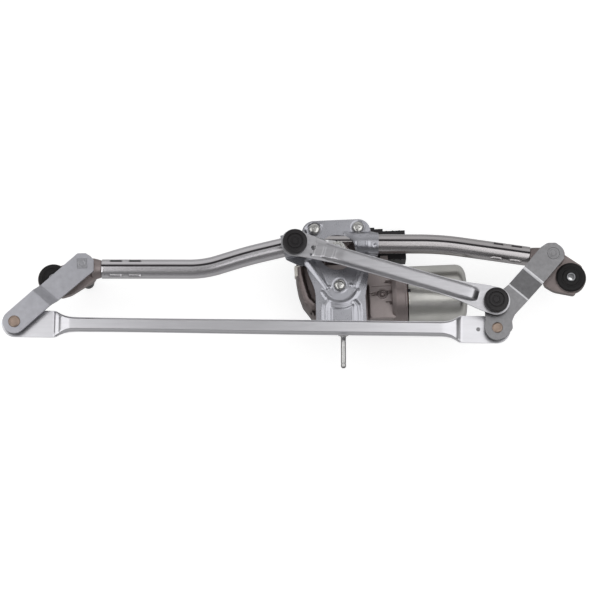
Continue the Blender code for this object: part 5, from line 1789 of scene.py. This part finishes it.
class LINKAGE_OT_stage(bpy.types.Operator):
    """Sets the floor, the light and the camera"""

    bl_idname = "linkage.stage"
    bl_label = "Stage"

    def execute(self, context):
        stage = context.scene.linkage_stage
        half = stage.floor / 2
        mesh = bpy.data.meshes.new("floor")
        corners = [(x * half, y * half, FLOOR_Z) for x, y in ((-1, -1), (1, -1), (1, 1), (-1, 1))]
        mesh.from_pydata(corners, [], [(0, 1, 2, 3)])
        floor = bpy.data.objects.new("floor", mesh)
        context.scene.collection.objects.link(floor)
        material = bpy.data.materials.new("pale_floor")
        material.use_nodes = True
        graph = Graph(material.node_tree)
        path = graph.add("LightPath", output="Is Camera Ray")
        gloss = graph.add("LightPath", output="Is Glossy Ray")
        clear = graph.add("LightPath", output="Is Transmission Ray")
        seen = graph.sum("MINIMUM", path + (gloss + clear) * 0.2, 1.0)
        paint = graph.add("BsdfDiffuse", None, {"Color": solid((1.0, 1.0, 1.0), FLOOR_GREY)})
        glow = graph.add("Emission", None, {"Color": (1.0, 1.0, 1.0, 1.0), "Strength": seen * FLOOR_GLOW})
        both = graph.add("AddShader", None, {0: paint, 1: glow})
        graph.add("OutputMaterial", None, {"Surface": both})
        mesh.materials.append(material)

        world = bpy.data.worlds.new("studio")
        context.scene.world = world
        world.use_nodes = True
        graph = Graph(world.node_tree)
        seen = graph.add("LightPath", output="Is Camera Ray")
        way = graph.add("TexCoord", output="Generated")
        across = graph.add("SeparateXYZ", None, {0: way}, output="Y")
        around = across * (across * stage.rim + stage.slope) + stage.sky
        strength = graph.sum("MAXIMUM", seen, around)
        back = graph.add("Background", None, {"Color": (1.0, 1.0, 1.0, 1.0), "Strength": strength})
        graph.add("OutputWorld", None, {"Surface": back})

        for name, side, room in (("left", -1, stage.lamp_left), ("right", 1, stage.lamp_right)):
            lamp = bpy.data.lights.new("softbox_" + name, "AREA")
            lamp.shape = "RECTANGLE"
            lamp.size = stage.lamp_width
            lamp.size_y = stage.lamp_depth
            lamp.energy = stage.lamp
            box = bpy.data.objects.new("softbox_" + name, lamp)
            box.location = (MIDDLE_X + side * (room + stage.lamp_width / 2), LAMP_Y, stage.lamp_height)
            context.scene.collection.objects.link(box)
        lamp = bpy.data.lights.new("softbox_front", "AREA")
        lamp.shape = "SQUARE"
        lamp.size = stage.front_size
        lamp.energy = stage.front
        box = bpy.data.objects.new("softbox_front", lamp)
        box.location = FRONT_LAMP
        aim = Vector(box.location) - Vector((MIDDLE_X, 0.0, 0.0))
        box.rotation_euler = aim.to_track_quat("Z", "Y").to_euler()
        context.scene.collection.objects.link(box)

        data = bpy.data.cameras.new("camera")
        data.lens = stage.lens
        data.sensor_width = SENSOR
        data.clip_start = 0.1
        data.clip_end = 50.0
        camera = bpy.data.objects.new("camera", data)
        camera.location = CAMERA_PLACE
        camera.rotation_euler = (math.radians(CAMERA_TILT), 0.0, 0.0)
        context.scene.collection.objects.link(camera)
        context.scene.camera = camera
        context.scene.view_settings.view_transform = "Standard"
        return {"FINISHED"}


# ---------------------------------------------------------------- panel and start


OPERATORS = (
    LINKAGE_OT_finishes,
    LINKAGE_OT_tubes,
    LINKAGE_OT_mounts,
    LINKAGE_OT_bracket,
    LINKAGE_OT_pin,
    LINKAGE_OT_screws,
    LINKAGE_OT_motor,
    LINKAGE_OT_crank,
    LINKAGE_OT_levers,
    LINKAGE_OT_joints,
    LINKAGE_OT_rods,
    LINKAGE_OT_stage,
)


class LINKAGE_PT_build(bpy.types.Panel):
    """Lists the pieces of the linkage"""

    bl_idname = "LINKAGE_PT_build"
    bl_label = "Wiper linkage"
    bl_space_type = "VIEW_3D"
    bl_region_type = "UI"
    bl_category = "Linkage"

    def draw(self, context):
        for operator in OPERATORS:
            self.layout.operator(operator.bl_idname)


CLASSES = (LinkageSizes, LinkageColours, StageSettings) + OPERATORS + (LINKAGE_PT_build,)


def register():
    for item in CLASSES:
        bpy.utils.register_class(item)
    bpy.types.Scene.linkage_sizes = PointerProperty(type=LinkageSizes)
    bpy.types.Scene.linkage_colours = PointerProperty(type=LinkageColours)
    bpy.types.Scene.linkage_stage = PointerProperty(type=StageSettings)


def unregister():
    del bpy.types.Scene.linkage_stage
    del bpy.types.Scene.linkage_colours
    del bpy.types.Scene.linkage_sizes
    for item in reversed(CLASSES):
        bpy.utils.unregister_class(item)


def main():
    register()
    bpy.ops.linkage.finishes()
    bpy.ops.linkage.tubes()
    bpy.ops.linkage.mounts()
    bpy.ops.linkage.bracket()
    bpy.ops.linkage.pin()
    bpy.ops.linkage.screws()
    bpy.ops.linkage.motor()
    bpy.ops.linkage.crank()
    bpy.ops.linkage.levers()
    bpy.ops.linkage.joints()
    bpy.ops.linkage.rods()
    bpy.ops.linkage.stage()


if __name__ == "__main__":
    main()
